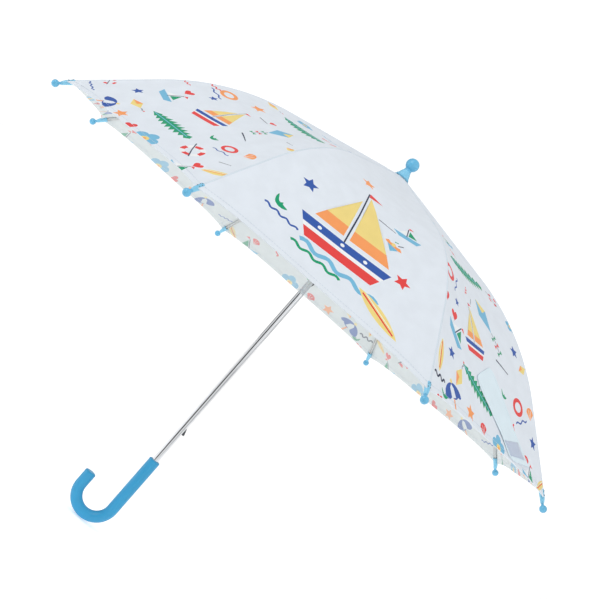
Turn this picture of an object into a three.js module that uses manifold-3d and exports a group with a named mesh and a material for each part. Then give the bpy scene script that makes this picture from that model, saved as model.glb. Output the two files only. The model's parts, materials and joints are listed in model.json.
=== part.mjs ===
// A child's stick umbrella, shown open: a curved plastic handle, a thin steel
// shaft, a sliding runner, eight ribs with their stretchers, and a canopy of
// eight gores.
//
// Frame: millimetres, +Z up the shaft towards the ferrule. The origin is in the
// middle of the straight grip, on the shaft's axis. The handle hooks towards -Y
// and both spring catches look towards +Y.

import * as THREE from 'three';
import { mergeVertices } from 'three/addons/utils/BufferGeometryUtils.js';
import Module from 'manifold-3d';

const wasm = await Module();
wasm.setup();

const RAD = Math.PI / 180;

// ---------------------------------------------------------------- sizes

// Overall layout. The rim plane holds the centres of the eight tip balls.
const RIM_RADIUS = 375;
const RIM_HEIGHT = 293;
const RIB_COUNT = 8;
const FIRST_RIB = -22.5 * RAD;
const HALF_GORE = Math.PI / RIB_COUNT;

// The rib's line: straight from its hinge, an even bend, straight to the tip.
const HINGE_RADIUS = 8;
const TOP_SLOPE = 13.5 * RAD;
const EDGE_SLOPE = 42.5 * RAD;
const BEND_START = 155;
const BEND_END = 290;

// Fluted steel section shared by ribs and stretchers.
const FLUTE_WIDTH = 3;
const FLUTE_DEPTH = 2.6;
const FLUTE_WALL = 0.6;

// Eyes, tabs and the pins through them.
const PLATE = 1.2;
const EYE_RADIUS = 1.5;
const WIRE_RADIUS = 0.4;
const WIRE_HOLE = 0.7;
const FLUTE_START = 6;
const STRETCHER_JOINT = 192;
const TAB_DROP = 5.2;
const TAB_RADIUS = 1.8;
const TAB_HALF_LENGTH = 4;
const RIVET_RADIUS = 0.55;
const RIVET_HOLE = 0.85;
const RIVET_HEAD = 1.3;
const RIVET_HEAD_HEIGHT = 0.5;

// How far every rib swings down when the umbrella is shut.
const CLOSING_ANGLE = 60 * RAD;

// Shaft.
const SHAFT_RADIUS = 4;
const SHAFT_BORE = 3.3;
const SHAFT_TOP = RIM_HEIGHT + 195;
const FIT = 0.3;
const SOCKET_DEPTH = 28;

// Pin through the shaft that stops the runner's ring, above the ring's pivots.
const STOP_PIN_LENGTH = 11;
const STOP_PIN_ABOVE_RING = 4.5;

// Handle: a straight grip, a half circle and a short straight tail.
const HANDLE_RADIUS = 7.25;
const HANDLE_TOP = 38;
const HOOK_START = -39;
const HOOK_RADIUS = 24;
const HOOK_TAIL = 18;

// Hubs that hold the eyes: the notch at the top, the ring of the runner below.
const SLOT_WIDTH = 1.8;
const SLOT_BOTTOM = 6.1;
const NOTCH_RADIUS = 9.2;
const RING_RADIUS = 9.6;
const SLEEVE_RADIUS = 5.9;
const FLARE_RADIUS = 8.2;
const RUNNER_LENGTH = 50;

// Canopy cloth, measured out from the rib's centre line.
const CLOTH_INSIDE = 2.3;
const CLOTH_THICKNESS = 0.8;
const CLOTH_GAP = 0.16;
const CLOTH_START = -3;
const HEM_FROM_BALL = 17.5;
const CLOTH_DIP = 5;

// Ferrule on top of the canopy.
const FERRULE_BALL = 8.3;
const FERRULE_HEIGHT = 208;
const FERRULE_NECK = 4.5;
const FERRULE_SKIRT = 9;

// Tip on each rib.
const TIP_BALL = 4.25;
const TIP_SLEEVE = 2.9;
const TIP_LENGTH = 17;
const TIP_BORE = 2.3;

// Spring catches: how far each one stands out of the shaft, and its height.
const CATCH_REACH = 6.5;
const CATCH_HEIGHT = 13;
const CATCH_SLOT = 1.8;
const LOWER_CATCH_BELOW_RIM = 212;

// Closure strap, placed on the second gore: along the rib, across the gore.
// Its crosswise direction turns from the free end to the end at the hem.
const STRAP_TOP = [326, -14];
const STRAP_END = [397, 72];
const STRAP_WIDTH = 52;
const STRAP_ACROSS_TOP = [-0.62, 0.78];
const STRAP_ACROSS_END = [-0.25, 0.97];
const STRAP_LIFT = 0.5;

// ------------------------------------------------------------- materials

const finish = (color, roughness, metalness = 0) =>
  new THREE.MeshStandardMaterial({ color, roughness, metalness });

const CHROME = finish('#c9cdd2', 0.18, 1);
const STEEL = finish('#8d8f94', 0.38, 1);
const SPRING_STEEL = finish('#4a4c50', 0.4, 1);
const HANDLE_BLUE = finish('#3d9dc9', 0.55);
const TRIM_BLUE = finish('#6ebee6', 0.45);
const RUNNER_BLUE = finish('#7cc4e6', 0.5);
const CLOTH = finish('#e4ebf3', 0.8);
const STRAP_CLOTH = finish('#e9f2f8', 0.85);

// ------------------------------------------------------------ rib's line

const BEND_RADIUS = (BEND_END - BEND_START) / (Math.sin(EDGE_SLOPE) - Math.sin(TOP_SLOPE));
const TOP_RUN = (BEND_START - HINGE_RADIUS) / Math.cos(TOP_SLOPE);
const BEND_RUN = BEND_RADIUS * (EDGE_SLOPE - TOP_SLOPE);
const EDGE_RUN = (RIM_RADIUS - BEND_END) / Math.cos(EDGE_SLOPE);
const RIB_LENGTH = TOP_RUN + BEND_RUN + EDGE_RUN;
const TOP_RISE = (BEND_START - HINGE_RADIUS) * Math.tan(TOP_SLOPE);
const BEND_RISE = BEND_RADIUS * (Math.cos(TOP_SLOPE) - Math.cos(EDGE_SLOPE));
const EDGE_RISE = (RIM_RADIUS - BEND_END) * Math.tan(EDGE_SLOPE);
const NOTCH_HEIGHT = RIM_HEIGHT + TOP_RISE + BEND_RISE + EDGE_RISE;

// Radius, height and slope of the rib's line, s millimetres from its hinge.
function ribLine(s) {
  if (s < TOP_RUN) {
    const r = HINGE_RADIUS + s * Math.cos(TOP_SLOPE);
    return { r, z: NOTCH_HEIGHT - s * Math.sin(TOP_SLOPE), slope: TOP_SLOPE };
  }
  if (s < TOP_RUN + BEND_RUN) {
    const slope = TOP_SLOPE + (s - TOP_RUN) / BEND_RADIUS;
    const r = BEND_START + BEND_RADIUS * (Math.sin(slope) - Math.sin(TOP_SLOPE));
    const drop = TOP_RISE + BEND_RADIUS * (Math.cos(TOP_SLOPE) - Math.cos(slope));
    return { r, z: NOTCH_HEIGHT - drop, slope };
  }
  const left = RIB_LENGTH - s;
  const r = RIM_RADIUS - left * Math.cos(EDGE_SLOPE);
  return { r, z: RIM_HEIGHT + left * Math.sin(EDGE_SLOPE), slope: EDGE_SLOPE };
}

// The same line moved outwards, square to itself.
function offsetLine(s, offset) {
  const { r, z, slope } = ribLine(s);
  return { r: r + offset * Math.sin(slope), z: z + offset * Math.cos(slope), slope };
}

// The stretcher's two pivots. Hinge to rivet and rivet to runner are equal.
const RIVET_AT = offsetLine(STRETCHER_JOINT, -TAB_DROP);
const LINK = Math.hypot(RIVET_AT.r - HINGE_RADIUS, NOTCH_HEIGHT - RIVET_AT.z);
const OPEN_ANGLE = Math.asin((RIVET_AT.r - HINGE_RADIUS) / LINK);
const RUNNER_HEIGHT = NOTCH_HEIGHT - 2 * LINK * Math.cos(OPEN_ANGLE);
const CLOSED_HEIGHT = NOTCH_HEIGHT - 2 * LINK * Math.cos(OPEN_ANGLE - CLOSING_ANGLE);
const RUNNER_BOTTOM = RUNNER_HEIGHT - RUNNER_LENGTH;
const UPPER_CATCH_TOP = RUNNER_BOTTOM - 0.4;
const LOWER_CATCH_BOTTOM = RIM_HEIGHT - LOWER_CATCH_BELOW_RIM;

// -------------------------------------------------------------- helpers

// A closed geometry as a solid that can be joined and cut.
function solid(geometry) {
  const plain = geometry.index ? geometry.toNonIndexed() : geometry.clone();
  plain.deleteAttribute('normal');
  plain.deleteAttribute('uv');
  const merged = mergeVertices(plain, 1e-4);
  return new wasm.Manifold(new wasm.Mesh({
    numProp: 3,
    vertProperties: merged.attributes.position.array,
    triVerts: merged.index.array,
  }));
}

// A solid back as a geometry.
function shapeOf(manifold) {
  const mesh = manifold.getMesh();
  const geometry = new THREE.BufferGeometry();
  geometry.setAttribute('position', new THREE.BufferAttribute(mesh.vertProperties, 3));
  geometry.setIndex(new THREE.BufferAttribute(mesh.triVerts, 1));
  const flat = geometry.toNonIndexed();
  flat.computeVertexNormals();
  return flat;
}

// A flat plate in the plane y = 0, drawn with x along X and y along Z.
function plate(shape, thickness, segments = 12) {
  const settings = { depth: thickness, bevelEnabled: false, curveSegments: segments };
  return new THREE.ExtrudeGeometry(shape, settings)
    .translate(0, 0, -thickness / 2)
    .rotateX(Math.PI / 2);
}

// A curve whose point at a given distance is known.
function curveAlong(length, pointAt) {
  const curve = new THREE.Curve();
  curve.getPoint = (t, target = new THREE.Vector3()) => target.copy(pointAt(t * length));
  return curve;
}

function sweep(shape, curve, steps, segments = 12) {
  const settings = { extrudePath: curve, steps, curveSegments: segments };
  return new THREE.ExtrudeGeometry(shape, settings);
}

// A turned piece about Z. The profile is a closed list of [radius, height].
function turned(profile, segments) {
  const points = profile.map(([r, z]) => new THREE.Vector2(r, z));
  return new THREE.LatheGeometry(points, segments).rotateX(Math.PI / 2);
}

// A ring with a bore, turned about Z, from its outer profile going up.
function ring(bore, outline, segments) {
  const low = outline[0][1];
  const high = outline[outline.length - 1][1];
  return turned([[bore, low], ...outline, [bore, high], [bore, low]], segments);
}

function drill(radius, length, segments = 8) {
  return new THREE.CylinderGeometry(radius, radius, length, segments);
}

// U section, open towards +y, which is the hollow side of a rib.
function fluteShape() {
  const w = FLUTE_WIDTH / 2;
  const d = FLUTE_DEPTH / 2;
  return new THREE.Shape([
    new THREE.Vector2(-w, -d),
    new THREE.Vector2(w, -d),
    new THREE.Vector2(w, d),
    new THREE.Vector2(w - FLUTE_WALL, d),
    new THREE.Vector2(w - FLUTE_WALL, FLUTE_WALL - d),
    new THREE.Vector2(FLUTE_WALL - w, FLUTE_WALL - d),
    new THREE.Vector2(FLUTE_WALL - w, d),
    new THREE.Vector2(-w, d),
  ]);
}

// A strip with a round eye at the origin, running along +x.
function eyeStrip(length) {
  const half = FLUTE_DEPTH / 2 - 0.1;
  const shape = new THREE.Shape();
  shape.moveTo(length, -half);
  shape.lineTo(length, half);
  shape.lineTo(EYE_RADIUS, half);
  shape.absarc(0, 0, EYE_RADIUS, 60 * RAD, 300 * RAD, false);
  shape.lineTo(EYE_RADIUS, -half);
  const hole = new THREE.Path();
  hole.absarc(0, 0, WIRE_HOLE, 0, 2 * Math.PI, true);
  shape.holes.push(hole);
  return plate(shape, PLATE, 5);
}

// --------------------------------------------------------- fixed pieces

function shaft() {
  const bottom = HANDLE_TOP - SOCKET_DEPTH + FIT;
  const outside = [[SHAFT_RADIUS, bottom], [SHAFT_RADIUS, SHAFT_TOP]];
  let tube = solid(ring(SHAFT_BORE, outside, 20));
  for (const low of [UPPER_CATCH_TOP - CATCH_HEIGHT, LOWER_CATCH_BOTTOM]) {
    const slot = new THREE.BoxGeometry(CATCH_SLOT, 2, CATCH_HEIGHT + 2 * FIT)
      .translate(0, SHAFT_RADIUS, low + CATCH_HEIGHT / 2);
    tube = tube.subtract(solid(slot));
  }
  const cross = drill(RIVET_HOLE, 3 * SHAFT_RADIUS)
    .rotateZ(Math.PI / 2)
    .translate(0, 0, stopPinHeight());
  return shapeOf(tube.subtract(solid(cross)));
}

function stopPinHeight() {
  return RUNNER_HEIGHT + STOP_PIN_ABOVE_RING;
}

function stopPin() {
  return drill(RIVET_RADIUS, STOP_PIN_LENGTH)
    .rotateZ(Math.PI / 2)
    .translate(0, 0, stopPinHeight());
}

// Grip, hook and tail, followed from the top of the grip.
function handleLine(distance) {
  const grip = HANDLE_TOP - HOOK_START;
  const hook = Math.PI * HOOK_RADIUS;
  if (distance <= grip) return new THREE.Vector3(0, 0, HANDLE_TOP - distance);
  if (distance <= grip + hook) {
    const turn = (distance - grip) / HOOK_RADIUS;
    const y = HOOK_RADIUS * (Math.cos(turn) - 1);
    return new THREE.Vector3(0, y, HOOK_START - HOOK_RADIUS * Math.sin(turn));
  }
  return new THREE.Vector3(0, -2 * HOOK_RADIUS, HOOK_START + distance - grip - hook);
}

function handle() {
  const length = HANDLE_TOP - HOOK_START + Math.PI * HOOK_RADIUS + HOOK_TAIL;
  const section = new THREE.Shape();
  section.absarc(0, 0, HANDLE_RADIUS, 0, 2 * Math.PI, false);
  const body = solid(sweep(section, curveAlong(length, handleLine), 24, 14));
  const socket = drill(SHAFT_RADIUS + FIT, 2 * SOCKET_DEPTH, 16)
    .rotateX(Math.PI / 2)
    .translate(0, 0, HANDLE_TOP);
  return shapeOf(body.subtract(solid(socket)));
}

// A catch is a flat blade of spring steel. Its square edge stops the runner
// and its long slope lets the runner push it in.
function catchBlade(squareEdge, direction) {
  const shape = new THREE.Shape();
  shape.moveTo(-1.5, 0);
  shape.lineTo(CATCH_REACH, 0);
  shape.lineTo(CATCH_REACH, 2);
  shape.lineTo(SHAFT_BORE - 0.3, CATCH_HEIGHT);
  shape.lineTo(-1.5, CATCH_HEIGHT);
  const blade = plate(shape, PLATE).rotateZ(Math.PI / 2);
  if (direction < 0) blade.rotateY(Math.PI);
  return blade.translate(0, 0, squareEdge);
}

// Height of the rib's line continued inwards past its hinge.
function coneHeight(r) {
  return NOTCH_HEIGHT - (r - HINGE_RADIUS) * Math.tan(TOP_SLOPE);
}

function slots(hub, height, from, low, high) {
  let cut = hub;
  for (let i = 0; i < RIB_COUNT; i += 1) {
    const slot = new THREE.BoxGeometry(10, SLOT_WIDTH, high - low)
      .translate(from + 5, 0, height + (high + low) / 2)
      .rotateZ(FIRST_RIB + 2 * HALF_GORE * i);
    cut = cut.subtract(solid(slot));
  }
  return cut;
}

// The notch under the ferrule: a crown with a wire groove and eight slots.
function topNotch() {
  const groove = WIRE_RADIUS + 0.3;
  const rise = CLOTH_INSIDE / Math.cos(TOP_SLOPE) - FIT;
  const bore = SHAFT_RADIUS + FIT;
  const crown = ring(bore, [
    [NOTCH_RADIUS - 2, NOTCH_HEIGHT - 3],
    [NOTCH_RADIUS, NOTCH_HEIGHT - 2.2],
    [NOTCH_RADIUS, NOTCH_HEIGHT - groove],
    [HINGE_RADIUS - groove, NOTCH_HEIGHT - groove],
    [HINGE_RADIUS - groove, NOTCH_HEIGHT + groove],
    [NOTCH_RADIUS, NOTCH_HEIGHT + groove],
    [NOTCH_RADIUS, coneHeight(NOTCH_RADIUS) + rise],
    [bore, coneHeight(bore) + rise - 0.2],
  ], 32);
  return shapeOf(slots(solid(crown), NOTCH_HEIGHT, SLOT_BOTTOM, -6, 6));
}

function notchWire() {
  return new THREE.TorusGeometry(HINGE_RADIUS, WIRE_RADIUS, 5, 32).translate(0, 0, NOTCH_HEIGHT);
}

// Cone-shaped washer between the cloth and the ferrule.
function ferruleWasher() {
  const inside = (CLOTH_INSIDE + CLOTH_THICKNESS) / Math.cos(TOP_SLOPE) + FIT;
  const bore = SHAFT_RADIUS + FIT;
  const edge = FERRULE_SKIRT + 1;
  return turned([
    [bore, coneHeight(bore) + inside],
    [edge, coneHeight(edge) + inside],
    [edge, coneHeight(edge) + inside + 0.7],
    [bore, coneHeight(bore) + inside + 0.7],
    [bore, coneHeight(bore) + inside],
  ], 32);
}

function ferruleCap() {
  const seat = (CLOTH_INSIDE + CLOTH_THICKNESS) / Math.cos(TOP_SLOPE) + 0.7 + 2 * FIT;
  const bore = SHAFT_RADIUS + FIT;
  const base = coneHeight(FERRULE_SKIRT) + seat;
  const centre = RIM_HEIGHT + FERRULE_HEIGHT;
  const neckTop = centre - Math.sqrt(FERRULE_BALL ** 2 - FERRULE_NECK ** 2);
  const start = Math.asin(FERRULE_NECK / FERRULE_BALL);
  const profile = [
    [0, SHAFT_TOP + FIT],
    [bore, SHAFT_TOP + FIT],
    [bore, coneHeight(bore) + seat],
    [FERRULE_SKIRT, base],
    [FERRULE_SKIRT, base + 1.2],
    [FERRULE_SKIRT - 1, base + 2],
    [FERRULE_NECK + 2, base + 6],
    [FERRULE_NECK, neckTop - 1.5],
    [FERRULE_NECK, neckTop],
  ];
  const rows = 8;
  for (let i = 1; i <= rows; i += 1) {
    const turn = Math.PI - start - (i / rows) * (Math.PI - start);
    profile.push([FERRULE_BALL * Math.sin(turn), centre + FERRULE_BALL * Math.cos(turn)]);
  }
  profile[profile.length - 1][0] = 0;
  return turned(profile, 24);
}

// ------------------------------------------------------------ the runner

function runner() {
  const h = RUNNER_HEIGHT;
  const body = ring(SHAFT_RADIUS + FIT, [
    [FLARE_RADIUS - 0.6, h - RUNNER_LENGTH],
    [FLARE_RADIUS, h - RUNNER_LENGTH + 0.8],
    [FLARE_RADIUS, h - RUNNER_LENGTH + 4],
    [SLEEVE_RADIUS, h - RUNNER_LENGTH + 8],
    [SLEEVE_RADIUS, h - 3],
    [RING_RADIUS, h - 3],
    [RING_RADIUS, h + 1.8],
    [RING_RADIUS - 0.8, h + 2.6],
  ], 32);
  const window = LOWER_CATCH_BOTTOM - CLOSED_HEIGHT + CATCH_HEIGHT / 2;
  const opening = new THREE.BoxGeometry(CATCH_SLOT + 0.4, 6, CATCH_HEIGHT + 2)
    .translate(0, SLEEVE_RADIUS, h + window);
  const cut = slots(solid(body), h, SLOT_BOTTOM, -6, 6);
  return shapeOf(cut.subtract(solid(opening)));
}

// ------------------------------------------- pieces repeated at each rib
// All are drawn for a rib that points along +X.

function ribCurve(from, to) {
  return curveAlong(to - from, (distance) => {
    const { r, z } = ribLine(from + distance);
    return new THREE.Vector3(r, 0, z);
  });
}

function rib() {
  const channel = sweep(fluteShape(), ribCurve(FLUTE_START, RIB_LENGTH - 7), 14);
  const eye = eyeStrip(FLUTE_START + 3)
    .rotateY(TOP_SLOPE)
    .translate(HINGE_RADIUS, 0, NOTCH_HEIGHT);
  const shoulder = TAB_DROP - 0.2 - FLUTE_WALL;
  const root = TAB_DROP + FLUTE_DEPTH / 2 - FLUTE_WALL / 2;
  const tabShape = new THREE.Shape();
  tabShape.moveTo(-TAB_HALF_LENGTH, shoulder);
  tabShape.lineTo(-TAB_RADIUS, 0);
  tabShape.absarc(0, 0, TAB_RADIUS, Math.PI, 2 * Math.PI, false);
  tabShape.lineTo(TAB_HALF_LENGTH, shoulder);
  tabShape.lineTo(TAB_HALF_LENGTH, root);
  tabShape.lineTo(-TAB_HALF_LENGTH, root);
  const hole = new THREE.Path();
  hole.absarc(0, 0, RIVET_HOLE, 0, 2 * Math.PI, true);
  tabShape.holes.push(hole);
  const tab = plate(tabShape, PLATE, 4)
    .rotateY(RIVET_AT.slope)
    .translate(RIVET_AT.r, 0, RIVET_AT.z);
  return shapeOf(solid(channel).add(solid(eye)).add(solid(tab)));
}

// Drawn from the rivet at the origin along +x, then turned to the runner.
function stretcher() {
  const line = curveAlong(LINK - FLUTE_START, (d) => new THREE.Vector3(d, 0, 0));
  const channel = solid(sweep(fluteShape(), line, 1));
  const d = FLUTE_DEPTH / 2;
  const webCut = new THREE.BoxGeometry(14, FLUTE_WIDTH - 2 * FLUTE_WALL, 2 * FLUTE_DEPTH);
  const earCap = new THREE.Shape();
  earCap.moveTo(0, -d);
  earCap.lineTo(0, d);
  earCap.absarc(0, 0, d, Math.PI / 2, 3 * Math.PI / 2, false);
  const ears = solid(plate(earCap, FLUTE_WIDTH, 4)).add(channel).subtract(solid(webCut));
  const hole = solid(drill(RIVET_HOLE, 2 * FLUTE_WIDTH));
  const eye = eyeStrip(FLUTE_START + 3).rotateZ(Math.PI).translate(LINK, 0, 0);
  const whole = ears.subtract(hole).add(solid(eye));
  const turn = Math.atan2(RIVET_AT.z - RUNNER_HEIGHT, HINGE_RADIUS - RIVET_AT.r);
  return shapeOf(whole).rotateY(turn).translate(RIVET_AT.r, 0, RIVET_AT.z);
}

function rivet() {
  const half = FLUTE_WIDTH / 2 + 0.3;
  const end = half + RIVET_HEAD_HEIGHT;
  return turned([
    [0, -end],
    [RIVET_HEAD, -end],
    [RIVET_HEAD, -half],
    [RIVET_RADIUS, -half],
    [RIVET_RADIUS, half],
    [RIVET_HEAD, half],
    [RIVET_HEAD, end],
    [0, end],
  ], 8).rotateX(Math.PI / 2).translate(RIVET_AT.r, 0, RIVET_AT.z);
}

// Sleeve, neck and ball, turned about the last straight of the rib.
function tip() {
  const neck = TIP_BALL * 0.4;
  const start = Math.asin(neck / TIP_BALL);
  const profile = [
    [0, -6.5],
    [TIP_BORE, -6.5],
    [TIP_BORE, -TIP_LENGTH],
    [TIP_SLEEVE, -TIP_LENGTH],
    [TIP_SLEEVE, -6.2],
    [neck, -5],
  ];
  const rows = 5;
  for (let i = 0; i <= rows; i += 1) {
    const turn = Math.PI - start - (i / rows) * (Math.PI - start);
    profile.push([TIP_BALL * Math.sin(turn), TIP_BALL * Math.cos(turn)]);
  }
  profile[profile.length - 1][0] = 0;
  return turned(profile, 12)
    .rotateY(Math.PI / 2 + EDGE_SLOPE)
    .translate(RIM_RADIUS, 0, RIM_HEIGHT);
}

// ----------------------------------------------------------- the canopy

// A point of the cloth in the frame of a gore whose middle is along +X: s along
// the rib, y across, both in millimetres, and the offset out of the rib's line.
function clothPoint(s, y, offset) {
  const { r, z, slope } = offsetLine(s, offset);
  const side = Math.min(Math.abs(y) / (r * Math.sin(HALF_GORE)), 1);
  const along = Math.min(Math.max(s / (RIB_LENGTH - HEM_FROM_BALL), 0), 1);
  const dip = CLOTH_DIP * Math.sin(Math.PI * along) * (1 - side * side);
  const x = r * Math.cos(HALF_GORE) - dip * Math.sin(slope);
  return new THREE.Vector3(x, y, z - dip * Math.cos(slope));
}

// Carries every vertex of a geometry through a function of its position.
function bend(geometry, place) {
  const position = geometry.attributes.position;
  const point = new THREE.Vector3();
  for (let i = 0; i < position.count; i += 1) {
    point.fromBufferAttribute(position, i);
    const moved = place(point);
    position.setXYZ(i, moved.x, moved.y, moved.z);
  }
  return shapeOf(solid(geometry));
}

// Half a gore, from its rib to its middle, on the +y side or the -y side.
function halfGore(sideSign) {
  const block = new THREE.BoxGeometry(1, 1, 1, 14, 2, 1);
  return bend(block, ({ x, y, z }) => {
    const s = CLOTH_START + (x + 0.5) * (RIB_LENGTH - HEM_FROM_BALL - CLOTH_START);
    const offset = CLOTH_INSIDE + (z + 0.5) * CLOTH_THICKNESS;
    const reach = offsetLine(s, offset).r * Math.sin(HALF_GORE) - 2 * CLOTH_GAP;
    const across = sideSign > 0 ? y + 0.5 : y - 0.5;
    return clothPoint(s, sideSign * CLOTH_GAP + across * reach, offset);
  });
}

// The closure strap lies on the outside of its gore.
function strap() {
  const low = CLOTH_INSIDE + CLOTH_THICKNESS + STRAP_LIFT;
  const block = new THREE.BoxGeometry(1, 1, 1, 8, 3, 1);
  const between = (from, to, t, i) => from[i] + t * (to[i] - from[i]);
  return bend(block, ({ x, y, z }) => {
    const t = x + 0.5;
    const [s, across] = [0, 1].map((i) => {
      const middle = between(STRAP_TOP, STRAP_END, t, i);
      return middle + y * STRAP_WIDTH * between(STRAP_ACROSS_TOP, STRAP_ACROSS_END, t, i);
    });
    return clothPoint(s, across, low + (z + 0.5) * CLOTH_THICKNESS);
  });
}

// ------------------------------------------------------------- assembly

const umbrella = new THREE.Group();

function add(parent, name, geometry, material) {
  const mesh = new THREE.Mesh(geometry, material);
  mesh.name = name;
  parent.add(mesh);
}

add(umbrella, 'shaft', shaft(), CHROME);
add(umbrella, 'handle', handle(), HANDLE_BLUE);
add(umbrella, 'ferrule_cap', ferruleCap(), TRIM_BLUE);
add(umbrella, 'ferrule_washer', ferruleWasher(), TRIM_BLUE);
add(umbrella, 'top_notch', topNotch(), STEEL);
add(umbrella, 'notch_wire', notchWire(), STEEL);
add(umbrella, 'stop_pin', stopPin(), STEEL);
add(umbrella, 'upper_catch', catchBlade(UPPER_CATCH_TOP, -1), SPRING_STEEL);
add(umbrella, 'lower_catch', catchBlade(LOWER_CATCH_BOTTOM, 1), SPRING_STEEL);
add(umbrella, 'runner', runner(), RUNNER_BLUE);

for (let i = 0; i < RIB_COUNT; i += 1) {
  const spoke = new THREE.Group();
  spoke.rotation.z = FIRST_RIB + 2 * HALF_GORE * i;
  add(spoke, `rib_${i + 1}`, rib(), STEEL);
  add(spoke, `stretcher_${i + 1}`, stretcher(), STEEL);
  add(spoke, `rivet_${i + 1}`, rivet(), STEEL);
  add(spoke, `tip_${i + 1}`, tip(), TRIM_BLUE);
  umbrella.add(spoke);

  const gore = new THREE.Group();
  gore.rotation.z = FIRST_RIB + HALF_GORE * (2 * i + 1);
  add(gore, `gore_${i + 1}_a`, halfGore(-1), CLOTH);
  add(gore, `gore_${i + 1}_b`, halfGore(1), CLOTH);
  if (i === 1) add(gore, 'closure_strap', strap(), STRAP_CLOTH);
  umbrella.add(gore);
}

export default umbrella;
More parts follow.
